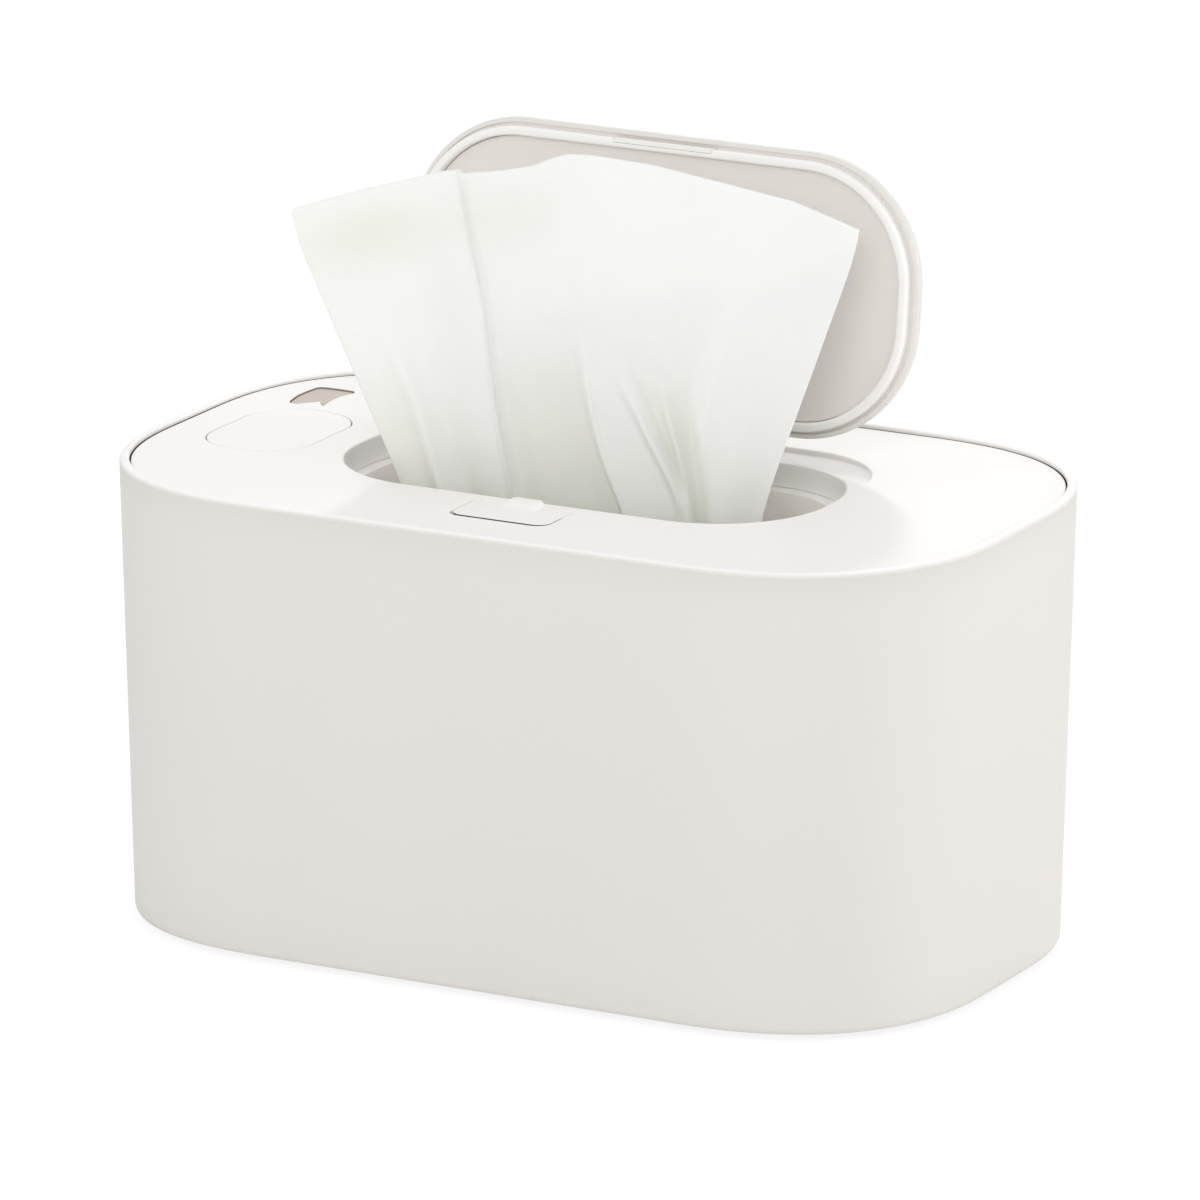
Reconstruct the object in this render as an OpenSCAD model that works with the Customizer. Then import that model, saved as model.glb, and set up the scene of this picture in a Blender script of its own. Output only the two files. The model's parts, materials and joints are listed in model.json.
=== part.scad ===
// Baby wipe warmer: a lift-off deck with a spring-open lid, over a heated tank of folded wipes.
// Millimetres. +X along the length, +Y to the back, +Z up, origin under the middle of the feet.

/* [Body] */
// Length of the outer shell at its rim
body_l = 240; // [220:1:270]
// Depth of the outer shell at its rim
body_w = 146.7; // [138:0.1:170]
// Height of the outer shell
body_h = 119.4; // [110:0.1:140]
// Corner radius of the outer shell in plan
corner_r = 62; // [50:0.5:66]
// Squareness of the corners, where 2 is a true arc
corner_p = 2.39; // [2:0.01:3]
// Narrowing of each side from the rim to the bottom
draft = 2.76; // [0:0.01:4]
// Wall of the outer shell
wall = 2.4; // [2:0.1:3]
// Radius along the top outer edge of the rim
rim_r = 1.2; // [0.6:0.1:1.8]
// Height of the feet below the shell
foot_out = 1.5; // [1:0.1:3]

/* [Tank] */
// Space between the outer shell's face and the tank
tank_inset = 11.5; // [10.5:0.1:14]
// Wall of the tank
tank_wall = 1.8; // [1.4:0.1:2.4]
// Height of the tank's underside above the bottom of the shell
tank_lift = 13.5; // [12.5:0.1:20]
// Thickness of the tank's top flange
flange_t = 2; // [1.5:0.1:3]
// Height of the stack of folded wipes
stack_h = 66; // [30:1:70]
// Space between each end of the folded wipes and the tank
stack_end = 16.7; // [14:0.1:30]
// Space between each side of the folded wipes and the tank
stack_side = 11; // [9:0.1:20]

/* [Deck] */
// Step from the rim down to the deck
deck_drop = 1; // [0:0.1:2]
// Thickness of the deck
deck_t = 2.4; // [2:0.1:3]
// Gap between the rim and the deck
deck_gap = 0.35; // [0.2:0.05:0.8]
// Height of the deck's skirt below its top face
skirt_h = 9.5; // [8.5:0.1:12]
// Wall of the deck's skirt
skirt_t = 1.8; // [1.4:0.1:2.4]
// Thickness of the gasket under the skirt
gasket_t = 1.3; // [1:0.1:2]
// Length of the opening for the wipes
open_l = 132.8; // [120:0.1:136]
// Depth of the opening for the wipes
open_w = 65.4; // [60:0.1:66]
// Corner radius of the opening
open_r = 29.5; // [24:0.5:30]
// Place of the opening's middle, from front to back
open_y = -1.4; // [-3:0.1:0]
// Depth of the opening's own wall
lip_h = 7; // [5:0.1:9]
// Width of the step inside the opening
ledge_w = 3.3; // [2:0.1:5]
// Depth of the collar below that step
collar_h = 9; // [5:0.1:12]

/* [Lid] */
// Length of the lid
lid_l = 146; // [140:0.1:150]
// Depth of the lid
lid_w = 73.4; // [70:0.1:76]
// Corner radius of the lid
lid_r = 32; // [26:0.5:34]
// Thickness of the lid's cover
lid_h = 5.2; // [4.5:0.1:7]
// Width of the seal ring
seal_w = 2.4; // [1.6:0.1:2.6]
// Height of the seal ring below the cover
seal_h = 3; // [2.5:0.1:4]
// Angle from the shut lid to the open lid
open_angle = 96.1; // [80:0.1:105]
// Height of the hinge axis above the deck
hinge_up = 6.8; // [6:0.1:8]
// Radius of the hinge pin
pin_r = 1.25; // [1:0.05:1.5]

/* [Buttons] */
// Width of the power button
key_l = 29; // [24:0.5:32]
// Depth of the power button
key_w = 43.5; // [36:0.5:48]
// Travel of the power button
key_travel = 0.8; // [0.5:0.1:1]
// Width of the latch button
latch_l = 27.4; // [22:0.1:30]
// Depth of the latch button's pad
latch_w = 14.6; // [12:0.1:16]
// Swing of the latch button
latch_swing = 4.5; // [3:0.1:5]

/* [Hidden] */
$fn = 48;
corner_steps = 16;
eps = 0.01;
seat = 0.1;
run_gap = 0.04;
air = 0.3;

// Levels, from the feet up
shell_z = foot_out;
rim_z = shell_z + body_h;
deck_z = rim_z - deck_drop;
under_z = deck_z - deck_t;
skirt_z = deck_z - skirt_h;
flange_z = skirt_z - gasket_t - 2 * seat;
ledge_z = flange_z - flange_t;
tank_z = shell_z + tank_lift;
tank_floor_z = tank_z + tank_wall;
stack_top_z = tank_floor_z + air + stack_h;
plate_z = shell_z + 0.5;
plate_t = 2.8;
spreader_t = 1;
film_t = 0.6;
pad_z = plate_z + plate_t + 2.2;
lip_z = deck_z - lip_h;
collar_t = 1.8;

// Insets from the outer shell's plan
end_x = -body_l / 2;
deck_in = wall + deck_gap;
skirt_in = deck_in + skirt_t;
ledge_in = wall + 4.4;
ledge_t = 2;
ledge_taper = 5;
flange_in = wall + 0.4;
tank_in = tank_inset + tank_wall;
plate_in = draft + wall + 0.3;

// Lid, in the shut position
lid_y = open_y - 0.2;
crest_z = deck_z + air;
cover_z = crest_z + seal_h;
lid_top_z = cover_z + lid_h;
cover_wall = 1.3;
seal_in = 2;
panel_z = cover_z - 0.9;
hinge_y = lid_y + lid_w / 2 - 0.7;
hinge_z = deck_z + hinge_up;
knuckle_r = 3;
post_r = 3.2;
post_w = 5;
post_x = 20.7;
post_in = post_x - post_w / 2;
post_out = post_x + post_w / 2;
post_front = 0.7;
notch_in = 3.6;
notch_x = post_out + 0.8;
knuckle_out = post_in - 0.4;
knuckle_in = 8;

// Latch button
latch_back_y = lid_y - lid_w / 2 - 0.3;
latch_front_y = latch_back_y - latch_w;
latch_y = latch_back_y - 2.4;
latch_z = deck_z - 9;
latch_pin_r = 1;
latch_side = 0.35;
latch_front = 1;
latch_bracket_x = latch_l / 2 + 1.5;
latch_bracket_t = 2;
shelf_z = deck_z - 12.2;
shelf_t = 1.2;
latch_spring_y = latch_front_y + 4.4;

// Power button and its board
key_x = end_x + 28.8;
key_y = -2.1;
key_r = 13;
key_gap = 0.3;
key_skirt = 1.5;
key_low_z = under_z - 1.4;
window_c = [end_x + 21.5, body_w / 2 - 39.35];
board_z = flange_z + 1.1;
board_t = 1.6;
board_top = board_z + board_t;
board_x0 = key_x - 11.3;
board_x1 = -open_l / 2 - collar_t - 4.8;
board_y0 = key_y - 24.2;
board_y1 = window_c[1] - 2;
board_cut = 6;
contact_x = end_x + 9.8;
contact_pitch = 5;
tongue_x = contact_x - 2.8;
tongue_w = 16;
switch_h = 2.4;

// Screws, feet and inlet
screw_x = body_l / 4;
screw_y = body_w / 2 - 16.5;
screw_l = 9.5;
screw_r = 1.2;
head_r = 2.8;
boss_r = 3.4;
boss_z = plate_z + plate_t + seat;
boss_h = tank_z - 0.4 - boss_z;
foot_x = body_l / 2 - 38;
foot_y = body_w / 2 - 33.35;
foot_r = 7;
inlet_x = 40;
inlet_z = 20;
inlet_r = 5.5;
inlet_l = 8;
plug_r = 2.8;

// Outline of a rectangle with rounded corners; the corners follow a superellipse of exponent p
function corner(r, p, t) = [r * pow(cos(t), 2 / p), r * pow(sin(t), 2 / p)];
function quarter(a, b, r, p, n) = [for (i = [0:n]) corner(r, p, 90 * i / n) + [a - r, b - r]];
function turned(q, n) = [for (i = [0:n]) q[n - i]];
function outline(a, b, r, p = 2, n = corner_steps) =
    let (q = quarter(a, b, r, p, n), w = turned(q, n))
    concat(q, [for (v = w) [-v[0], v[1]]], [for (v = q) -v], [for (v = w) [v[0], -v[1]]]);
function body_plan(d) = outline(body_l / 2 - d, body_w / 2 - d, corner_r - d, corner_p);
function lean(z) = draft * (rim_z - z) / body_h;
function level(pts, z) = [for (v = pts) [v[0], v[1], z]];

// A closed skin over rings of points; a hoop joins the last ring to the first instead of capping both
module skin(rings, hoop = false) {
    n = len(rings[0]);
    m = len(rings);
    steps = hoop ? m : m - 1;
    sides = [for (j = [0:steps - 1]) for (i = [0:n - 1])
        let (k = (j + 1) % m, h = (i + 1) % n)
        each [[j * n + i, k * n + i, k * n + h], [j * n + i, k * n + h, j * n + h]]];
    caps = hoop ? [] : [[for (i = [0:n - 1]) i], [for (i = [0:n - 1]) m * n - 1 - i]];
    polyhedron(points = [for (r = rings) each r], faces = concat(sides, caps));
}
module slab(pts, z0, z1) {
    translate([0, 0, z0]) linear_extrude(z1 - z0) polygon(pts);
}
module hoop(outer, inner, z0, z1) {
    translate([0, 0, z0]) linear_extrude(z1 - z0) difference() {
        polygon(outer);
        polygon(inner);
    }
}
module rod_x(r, x0, x1, y, z) {
    translate([x0, y, z]) rotate([0, 90, 0]) cylinder(r = r, h = x1 - x0);
}
module box(x0, x1, y0, y1, z0, z1) {
    translate([x0, y0, z0]) cube([x1 - x0, y1 - y0, z1 - z0]);
}
module both_x() {
    children();
    mirror([1, 0, 0]) children();
}
module both_y() {
    children();
    mirror([0, 1, 0]) children();
}

// A round tube along points, given a direction for its first side
function unit(v) = v / norm(v);
function along(p, i) = unit(p[min(i + 1, len(p) - 1)] - p[max(i - 1, 0)]);
function side(t) = unit(cross(t, abs(t[2]) > 0.9 ? [1, 0.2, 0] : [0, 0.2, 1]));
function disc(c, t, r, n) = let (a = side(t), b = cross(t, a))
    [for (i = [0:n - 1]) c + r * (cos(360 * i / n) * a + sin(360 * i / n) * b)];
module tube(path, r, n = 8) {
    skin([for (i = [0:len(path) - 1]) disc(path[i], along(path, i), r, n)]);
}
// A compression spring standing on z0: flat end turns and a steady rise between them
function climb(f) = f < 0.15 ? f * 0.3 : f > 0.85 ? 1 - (1 - f) * 0.3 : 0.045 + (f - 0.15) * 0.91 / 0.7;
function coil(x, y, z0, z1, r, turns, wire) = [for (i = [0:turns * 10])
    let (f = i / (turns * 10))
    [x + r * cos(36 * i), y + r * sin(36 * i), z0 + wire + climb(f) * (z1 - z0 - 2 * wire)]];

// Outer shell: draws in towards the bottom, with a rounded rim and a ledge that holds the tank
shell_profile = concat(
    [[draft + wall, shell_z], [draft + 1, shell_z], [draft + 0.3, shell_z + 0.3], [draft, shell_z + 1.2]],
    [for (i = [0:4]) [rim_r * (1 - cos(22.5 * i)), rim_z - rim_r * (1 - sin(22.5 * i))]],
    [[wall - 0.3, rim_z], [wall, rim_z - 0.3]],
    [[wall, ledge_z], [ledge_in, ledge_z], [ledge_in, ledge_z - ledge_t]],
    [[wall + lean(ledge_z - ledge_t - ledge_taper), ledge_z - ledge_t - ledge_taper]]);
module outer_shell() color("whitesmoke") {
    rib_y = body_w / 2 - draft - 0.8;
    difference() {
        union() {
            skin([for (q = shell_profile) level(body_plan(q[0]), q[1])], hoop = true);
            both_x() both_y() {
                translate([screw_x, screw_y, boss_z]) cylinder(r = boss_r, h = boss_h);
                box(screw_x - 1, screw_x + 1, screw_y + boss_r - 1, rib_y, boss_z, boss_z + boss_h);
            }
        }
        both_x() both_y() {
            translate([screw_x, screw_y, boss_z - 1]) cylinder(r = screw_r + 0.05, h = screw_l);
        }
        translate([inlet_x, 0, inlet_z]) rotate([-90, 0, 0]) cylinder(r = inlet_r, h = body_w);
    }
}

// Base plate: closes the shell from below and carries the insulation on short posts
heat_half = [body_l / 2 - 36, body_w / 2 - 29.35];
pad_post_x = [25, heat_half[0] - 14];
pad_post_y = heat_half[1] - 16;
pad_post_r = 4;
vent_pitch = 10;
vent_half = [1.5, 12];
foot_pocket = 1;
module base_plate() color("gainsboro") difference() {
    union() {
        slab(body_plan(plate_in), plate_z, plate_z + plate_t);
        both_x() both_y() for (x = pad_post_x) translate([x, pad_post_y, plate_z + plate_t - eps]) {
            cylinder(r = pad_post_r, h = pad_z - plate_z - plate_t - seat);
        }
    }
    both_x() both_y() {
        translate([screw_x, screw_y, plate_z - 1]) {
            cylinder(r = screw_r + 0.5, h = plate_t + 2);
            cylinder(r = head_r + 0.2, h = 2.2);
        }
        translate([foot_x, foot_y, plate_z - 1]) cylinder(r = foot_r + 0.1, h = foot_pocket + 1);
    }
    for (i = [-2:2]) translate([i * vent_pitch, 0, 0]) {
        box(-vent_half[0], vent_half[0], -vent_half[1], vent_half[1], plate_z - 1, plate_z + plate_t + 1);
    }
}

foot_edge = 0.8;
module feet() color("dimgray") both_x() both_y() translate([foot_x, foot_y, 0]) {
    cylinder(r1 = foot_r - 0.6, r2 = foot_r, h = foot_edge);
    translate([0, 0, foot_edge]) cylinder(r = foot_r, h = plate_z + foot_pocket - seat - foot_edge);
}

// A cross-head screw that points up, with its head at the bottom
module screw(r, head_r, head_h, length) {
    arm = head_r * 0.6;
    difference() {
        cylinder(r = head_r, h = head_h);
        for (a = [0, 90]) rotate(a) box(-arm, arm, -0.35, 0.35, -eps, head_h * 0.5);
    }
    translate([0, 0, head_h - eps]) cylinder(r = r, h = length);
}
module base_screws() color("silver") both_x() both_y() {
    translate([screw_x, screw_y, plate_z - 0.4]) screw(screw_r, head_r, 1.5, screw_l);
}

// Tank: hangs by its flange from the shell's ledge
module inner_tank() color("linen") difference() {
    union() {
        slab(body_plan(tank_inset), tank_z, flange_z);
        slab(body_plan(flange_in), ledge_z + seat, flange_z);
    }
    slab(body_plan(tank_in), tank_floor_z, flange_z + 1);
    for (i = [-1:1]) translate([contact_x, i * contact_pitch, ledge_z - 1]) {
        cylinder(r = 1.3, h = flange_t + 2);
    }
}

// Heater under the tank: spreader plate, film and felt, each a little larger than the last
heat_r = 20;
heat_step = 4;
function heat_plan(d) = outline(heat_half[0] + d, heat_half[1] + d, heat_r + d);
module heat_spreader() color("lightsteelblue") {
    slab(heat_plan(0), tank_z - seat - spreader_t, tank_z - seat);
}
film_top = tank_z - 2 * seat - spreader_t;
module heater_film() color("darkorange") {
    slab(heat_plan(-heat_step), film_top - film_t, film_top);
}
pad_top = film_top - film_t - seat;
cutoff_x = 30;
cutoff_r = 8;
cutoff_h = 4.6;
sensor_x = -30;
sensor_r = 2;
sensor_h = 3.4;
lead_l = 1.6;
module insulation() color("khaki") difference() {
    slab(heat_plan(heat_step), pad_z, pad_top);
    translate([cutoff_x, 0, pad_z - 1]) cylinder(r = cutoff_r + 1, h = pad_top - pad_z + 2);
    translate([sensor_x, 0, pad_z - 1]) cylinder(r = sensor_r + 2, h = pad_top - pad_z + 2);
}
module thermal_cutoff() color("dimgray") translate([cutoff_x, 0, pad_top - cutoff_h]) {
    cylinder(r = cutoff_r, h = cutoff_h);
    for (x = [-4, 4]) box(x, x + 0.8, -1.2, 1.2, -lead_l, 0.1);
}
module temperature_sensor() color("black") translate([sensor_x, 0, pad_top - sensor_h]) {
    cylinder(r = sensor_r, h = sensor_h);
    for (y = [-0.8, 0.8]) translate([0, y, -lead_l]) cylinder(r = 0.4, h = lead_l + 0.1, $fn = 16);
}

// Inlet for a round plug, through the back of the shell
inlet_y = body_w / 2 - draft - 0.4;
pin_in = 0.8;
contact_r = 1.05;
module power_inlet() color("dimgray") translate([inlet_x, inlet_y, inlet_z]) rotate([90, 0, 0]) {
    difference() {
        union() {
            cylinder(r = inlet_r - 0.1, h = inlet_l);
            translate([0, 0, wall]) cylinder(r = inlet_r + 1.4, h = 1.4);
        }
        translate([0, 0, -1]) cylinder(r = plug_r, h = inlet_l - 0.5);
        translate([0, 0, inlet_l - 2]) cylinder(r = contact_r + 0.05, h = 3);
    }
}
module inlet_pin() color("gold") translate([inlet_x, inlet_y - pin_in, inlet_z]) rotate([90, 0, 0]) {
    cylinder(r = contact_r, h = inlet_l - 1);
}

// Spring contacts that feed the deck's board through the tank's flange
contact_h = 9;
pin_low_z = ledge_z - contact_h - 3;
pad_t = 0.35;
block_half = contact_pitch + 4;
module contact_block() color("dimgray") difference() {
    box(contact_x - 2.7, contact_x + 1.4, -block_half, block_half, ledge_z - contact_h - 2, ledge_z);
    for (i = [-1:1]) translate([contact_x, i * contact_pitch, pin_low_z]) {
        cylinder(r = contact_r + 0.05, h = contact_h + 3);
    }
}
module contact_pins() color("gold") for (i = [-1:1]) translate([contact_x, i * contact_pitch, 0]) {
    translate([0, 0, pin_low_z]) cylinder(r = contact_r, h = contact_h + 3);
    translate([0, 0, ledge_z - eps]) cylinder(r = 0.8, h = board_z - pad_t - seat - ledge_z);
}

// Wires from the inlet round the tank to the contacts, then down to the heater
loom_in = 8.2;
loom_z = 48;
loom_r = 1.3;
wire_r = 0.8;
wire_x = inlet_x - 9;
wire_z = plate_z + plate_t + 1.1;
loom_end = [contact_x - 0.8, 0, ledge_z - contact_h - 10];
loom_start = [inlet_x - inlet_r - 0.1, inlet_y - 5.9, inlet_z];
function loom_at(i) = body_plan(loom_in)[i];
loom_path = concat(
    [loom_start, loom_start + [-3, 0, 0], loom_start + [-6, 0.3, 4]],
    [loom_start + [-14, 0.8, loom_z - inlet_z]],
    [for (i = [corner_steps + 1:2:2 * corner_steps + 1]) [loom_at(i)[0], loom_at(i)[1], loom_z]],
    [[loom_end[0], 3, ledge_z - 34], loom_end]);
heater_wire = [loom_start + [-4, 0, -0.6], loom_start + [-4, 0, -6], [wire_x, inlet_y - 14.2, wire_z + 1.3],
    [wire_x, inlet_y - 22.2, wire_z], [wire_x, 12, wire_z], [cutoff_x + 0.2, 2, wire_z - 0.1]];
function branch(y) = [loom_end - [0, 0, 2], [contact_x - 0.4, y * 0.6, pin_low_z - 5],
    [contact_x, y, pin_low_z - 2], [contact_x, y, pin_low_z - 0.15]];
module wire_loom() color("firebrick") {
    tube(loom_path, loom_r);
    for (i = [-1:1]) tube(branch(i * contact_pitch), wire_r - 0.1);
    tube(heater_wire, wire_r);
}

stack_half = [body_l / 2 - tank_in - stack_end, body_w / 2 - tank_in - stack_side];
module wipe_stack() color("honeydew") {
    slab(outline(stack_half[0], stack_half[1], 6, 2, 4), tank_floor_z + air, stack_top_z);
}

// Deck: plate with the opening, the wall under it, the skirt, and the brackets it carries
function open_plan(d) = [for (v = outline(open_l / 2 + d, open_w / 2 + d, open_r + d)) v + [0, open_y]];
function key_plan(d) = [for (v = outline(key_l / 2 + d, key_w / 2 + d, key_r + d)) v + [key_x, key_y]];
module plate_cutouts() {
    slab(open_plan(0), lip_z - 1, deck_z + 1);
    slab(key_plan(key_gap), under_z - 1, deck_z + 1);
    slab(crescent(window_grow), under_z - 1, deck_z + 1);
    box(-latch_l / 2 - latch_side, latch_l / 2 + latch_side, latch_front_y - latch_front, latch_back_y,
        under_z - 1, deck_z + 1);
}
// Hollow behind the opening that lets the lid's back edge swing down; its floor tilts to nothing in front
trough_back = 10;
trough_front = 14;
trough_fall = 1.3;
trough_in = 7;
trough_mid = hinge_y - 18;
module hinge_trough() intersection() {
    translate([0, trough_mid, 0]) {
        slab(outline(lid_l / 2 - trough_in, hinge_y + trough_back - trough_mid, lid_r - trough_in + 1),
            under_z, deck_z + 1);
    }
    translate([0, hinge_y - trough_front, deck_z]) {
        rotate([-atan(trough_fall / (trough_back + trough_front)), 0, 0]) box(-lid_l, lid_l, 0, 60, 0, 10);
    }
}
module hinge_posts() both_x() {
    rod_x(post_r, post_in, post_out, hinge_y, hinge_z);
    box(post_in, post_out, hinge_y - post_front, hinge_y + post_r, under_z, hinge_z);
}
module hinge_hollow() difference() {
    hinge_trough();
    both_x() box(post_in, post_out, hinge_y - post_front, hinge_y + post_r, under_z, deck_z + 2);
}
module latch_bracket() {
    out = latch_bracket_x + latch_bracket_t;
    both_x() box(latch_bracket_x, out, latch_front_y, latch_back_y - 0.2, shelf_z, under_z + eps);
    box(-out, out, latch_front_y, latch_spring_y + 3.6, shelf_z, shelf_z + shelf_t);
}
guide_gap = 2;
guide_t = 1.6;
module key_guide() {
    hoop(key_plan(guide_gap + guide_t), key_plan(guide_gap), board_top + seat, under_z + eps);
}
collar_screw_at = [for (s = [-1, 1]) for (t = [-1, 1]) [s * 32, open_y + t * (open_w / 2 + 4.2)]];
module top_deck() color("white") difference() {
    union() {
        slab(body_plan(deck_in), under_z, deck_z);
        hoop(body_plan(deck_in), body_plan(skirt_in), skirt_z, under_z + eps);
        slab(open_plan(collar_t), lip_z, under_z + eps);
        hinge_posts();
        latch_bracket();
        key_guide();
        for (p = collar_screw_at) translate([p[0], p[1], lip_z]) {
            cylinder(r = 3, h = under_z - lip_z + eps);
        }
    }
    plate_cutouts();
    hinge_hollow();
    rod_x(pin_r + run_gap, -post_out - 1, post_out + 1, hinge_y, hinge_z);
    rod_x(latch_pin_r + run_gap, -latch_bracket_x - 5, latch_bracket_x + 5, latch_y, latch_z);
    for (p = collar_screw_at) translate([p[0], p[1], lip_z - 1]) {
        cylinder(r = collar_screw_r + 0.05, h = collar_screw_l);
    }
}
collar_screw_r = 0.85;
collar_screw_l = 6;

// Collar: the step and the second wall inside the opening, held by screws from below
module opening_collar() color("linen") difference() {
    union() {
        slab(open_plan(collar_t), lip_z - collar_t, lip_z - seat / 2);
        slab(open_plan(collar_t - ledge_w), lip_z - collar_h, lip_z - seat);
        for (p = collar_screw_at) translate([p[0], p[1], lip_z - collar_t]) {
            cylinder(r = 3.2, h = collar_t - seat / 2);
        }
    }
    slab(open_plan(-ledge_w), lip_z - collar_h - 1, lip_z + 1);
    for (p = collar_screw_at) translate([p[0], p[1], lip_z - collar_t - 1]) {
        cylinder(r = collar_screw_r + 0.25, h = collar_t + 2);
    }
}
module collar_screws() color("silver") for (p = collar_screw_at) {
    translate([p[0], p[1], lip_z - collar_t - seat - 1.2]) screw(collar_screw_r, 2, 1.2, collar_screw_l);
}
module deck_gasket() color("lightgray") {
    hoop(body_plan(deck_in + 0.2), body_plan(skirt_in + 1.6), flange_z + seat, skirt_z - seat);
}

// Control board under the deck, with its tongue over the contacts
board_plan = [[tongue_x, -tongue_w / 2], [board_x0, -tongue_w / 2],
    [board_x0, board_y0 + board_cut], [board_x0 + board_cut, board_y0], [board_x1, board_y0],
    [board_x1, board_y1], [board_x0 + board_cut, board_y1], [board_x0, board_y1 - board_cut],
    [board_x0, tongue_w / 2], [tongue_x, tongue_w / 2]];
board_holes = [[board_x1 - 3, board_y0 + 3], [board_x1 - 3, board_y1 - 3], [board_x0 + 9, board_y0 + 3]];
board_screw_r = 1;
module control_board() color("seagreen") difference() {
    slab(board_plan, board_z, board_top);
    for (p = board_holes) translate([p[0], p[1], board_z - 1]) {
        cylinder(r = board_screw_r + 0.2, h = board_t + 2);
    }
}
module tact_switch() color("black") translate([key_x, key_y, board_top]) {
    box(-3, 3, -3, 3, 0, switch_h - 1);
    cylinder(r = 1.7, h = switch_h);
}
led_at = [window_c + [0.5, -4.4], window_c + [-2.9, -7.4]];
module status_leds() color("ivory") for (p = led_at) translate([p[0], p[1], board_top]) {
    box(-1.4, 1.4, -0.8, 0.8, 0, 0.8);
}
module contact_pads() color("gold") for (i = [-1:1]) {
    translate([contact_x, i * contact_pitch, board_z - pad_t]) cylinder(r = 1.7, h = pad_t);
}
cover_h = 6.5;
cover_t = 1.4;
function cover_plan(d) = let (cut = board_cut + d * 0.4)
    [[board_x0 + d, board_y0 + cut], [board_x0 + cut, board_y0 + d], [board_x1 - d, board_y0 + d],
    [board_x1 - d, board_y1 - d], [board_x0 + cut, board_y1 - d], [board_x0 + d, board_y1 - cut]];
module board_cover() color("linen") difference() {
    union() {
        difference() {
            slab(cover_plan(0), board_z - cover_h, board_z - seat);
            slab(cover_plan(cover_t), board_z - cover_h + cover_t, board_z);
        }
        for (p = board_holes) translate([p[0], p[1], board_z - cover_h]) {
            cylinder(r = 2.6, h = cover_h - seat);
        }
    }
    for (p = board_holes) translate([p[0], p[1], board_z - cover_h - 1]) {
        cylinder(r = board_screw_r + 0.2, h = cover_h + 2);
    }
}
module board_screws() color("silver") for (p = board_holes) {
    translate([p[0], p[1], board_z - cover_h - seat - 1.2]) {
        screw(board_screw_r, 2.2, 1.2, cover_h + board_t + 1.6);
    }
}

// A bend from a to b that passes through m, without its last point
function bend(a, m, b, n = 6) = [for (i = [0:n - 1]) let (t = i / n)
    (1 - t) * (1 - t) * a + 2 * t * (1 - t) * (2 * m - (a + b) / 2) + t * t * b];

// Crescent window: one horn stands on the front edge, beside a bite
window_grow = 0.03;
window_drop = 0.4;
crescent_points = concat(
    bend([-5.8, 5.4], [-6.2, -1], [-5.4, -6.6]),
    bend([-5.4, -6.6], [-4.3, -9.8], [-2, -10.6]),
    bend([-2, -10.6], [-0.1, -8.6], [2.4, -5.8]),
    bend([2.4, -5.8], [3.6, -7.3], [5.3, -9.5]),
    bend([5.3, -9.5], [4.2, -1], [5.6, 5.4]),
    bend([5.6, 5.4], [5.2, 7.4], [3.5, 8]),
    bend([3.5, 8], [0.5, 8.2], [-2.5, 8.1]),
    bend([-2.5, 8.1], [-5.1, 7.5], [-5.8, 5.4]));
function crescent(grow) = [for (p = crescent_points) window_c + (1 + grow) * p];
module light_window() color("tan") slab(crescent(0), under_z, deck_z - window_drop);

// Power button: a broad cap on a stem over the switch
stem_z = board_top + switch_h + key_travel + seat;
module power_button() color("white") {
    slab(key_plan(0), under_z - 0.6, deck_z + 0.1);
    slab(key_plan(key_skirt), key_low_z, under_z - seat);
    translate([key_x, key_y, stem_z]) cylinder(r = 2, h = under_z - stem_z - 0.5);
}
module power_spring() color("silver") {
    tube(coil(key_x, key_y, board_top + seat, key_low_z - seat, 5.4, 4, 0.35), 0.35, 6);
}

// Latch button: pad, raised nose and two lugs on a cross pin
pad_r = 3.5;
pad_back_y = latch_back_y - 0.4;
nose_half = 5;
nose_top = 1.25;
catch_y = lid_y - lid_w / 2 + seal_in;
function arc(c, r, a, b, n) = [for (i = [0:n]) let (t = a + (b - a) * i / n) c + r * [cos(t), sin(t)]];
latch_pad = concat(
    arc([latch_l / 2 - pad_r, latch_front_y + pad_r], pad_r, -90, 0, 8),
    [[latch_l / 2, pad_back_y], [-latch_l / 2, pad_back_y]],
    arc([-latch_l / 2 + pad_r, latch_front_y + pad_r], pad_r, 180, 270, 8));
latch_nose = [[pad_back_y - 1.8, deck_z - 1], [pad_back_y, deck_z - 1], [pad_back_y, deck_z + 0.2],
    [catch_y - 0.6, deck_z + 0.2], [catch_y - 0.6, deck_z + 0.85], [catch_y + 0.3, deck_z + 0.95],
    [catch_y + 0.3, deck_z + nose_top], [pad_back_y - 0.4, deck_z + nose_top],
    [pad_back_y - 1.4, deck_z + 0.4], [pad_back_y - 2.8, deck_z]];
module latch_button() color("white") difference() {
    union() {
        slab(latch_pad, under_z, deck_z);
        translate([-nose_half, 0, 0]) rotate([90, 0, 90]) linear_extrude(2 * nose_half) polygon(latch_nose);
        both_x() box(9, 12, latch_y - 3, pad_back_y, latch_z - 2.2, under_z + eps);
    }
    rod_x(latch_pin_r + run_gap, -20, 20, latch_y, latch_z);
}
module latch_pin() color("silver") {
    out = latch_bracket_x + latch_bracket_t;
    rod_x(latch_pin_r, -out, out, latch_y, latch_z);
}
module latch_spring() color("silver") {
    tube(coil(0, latch_spring_y, shelf_z + shelf_t + seat, under_z - seat, 2.6, 5, 0.3), 0.3, 6);
}

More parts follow.
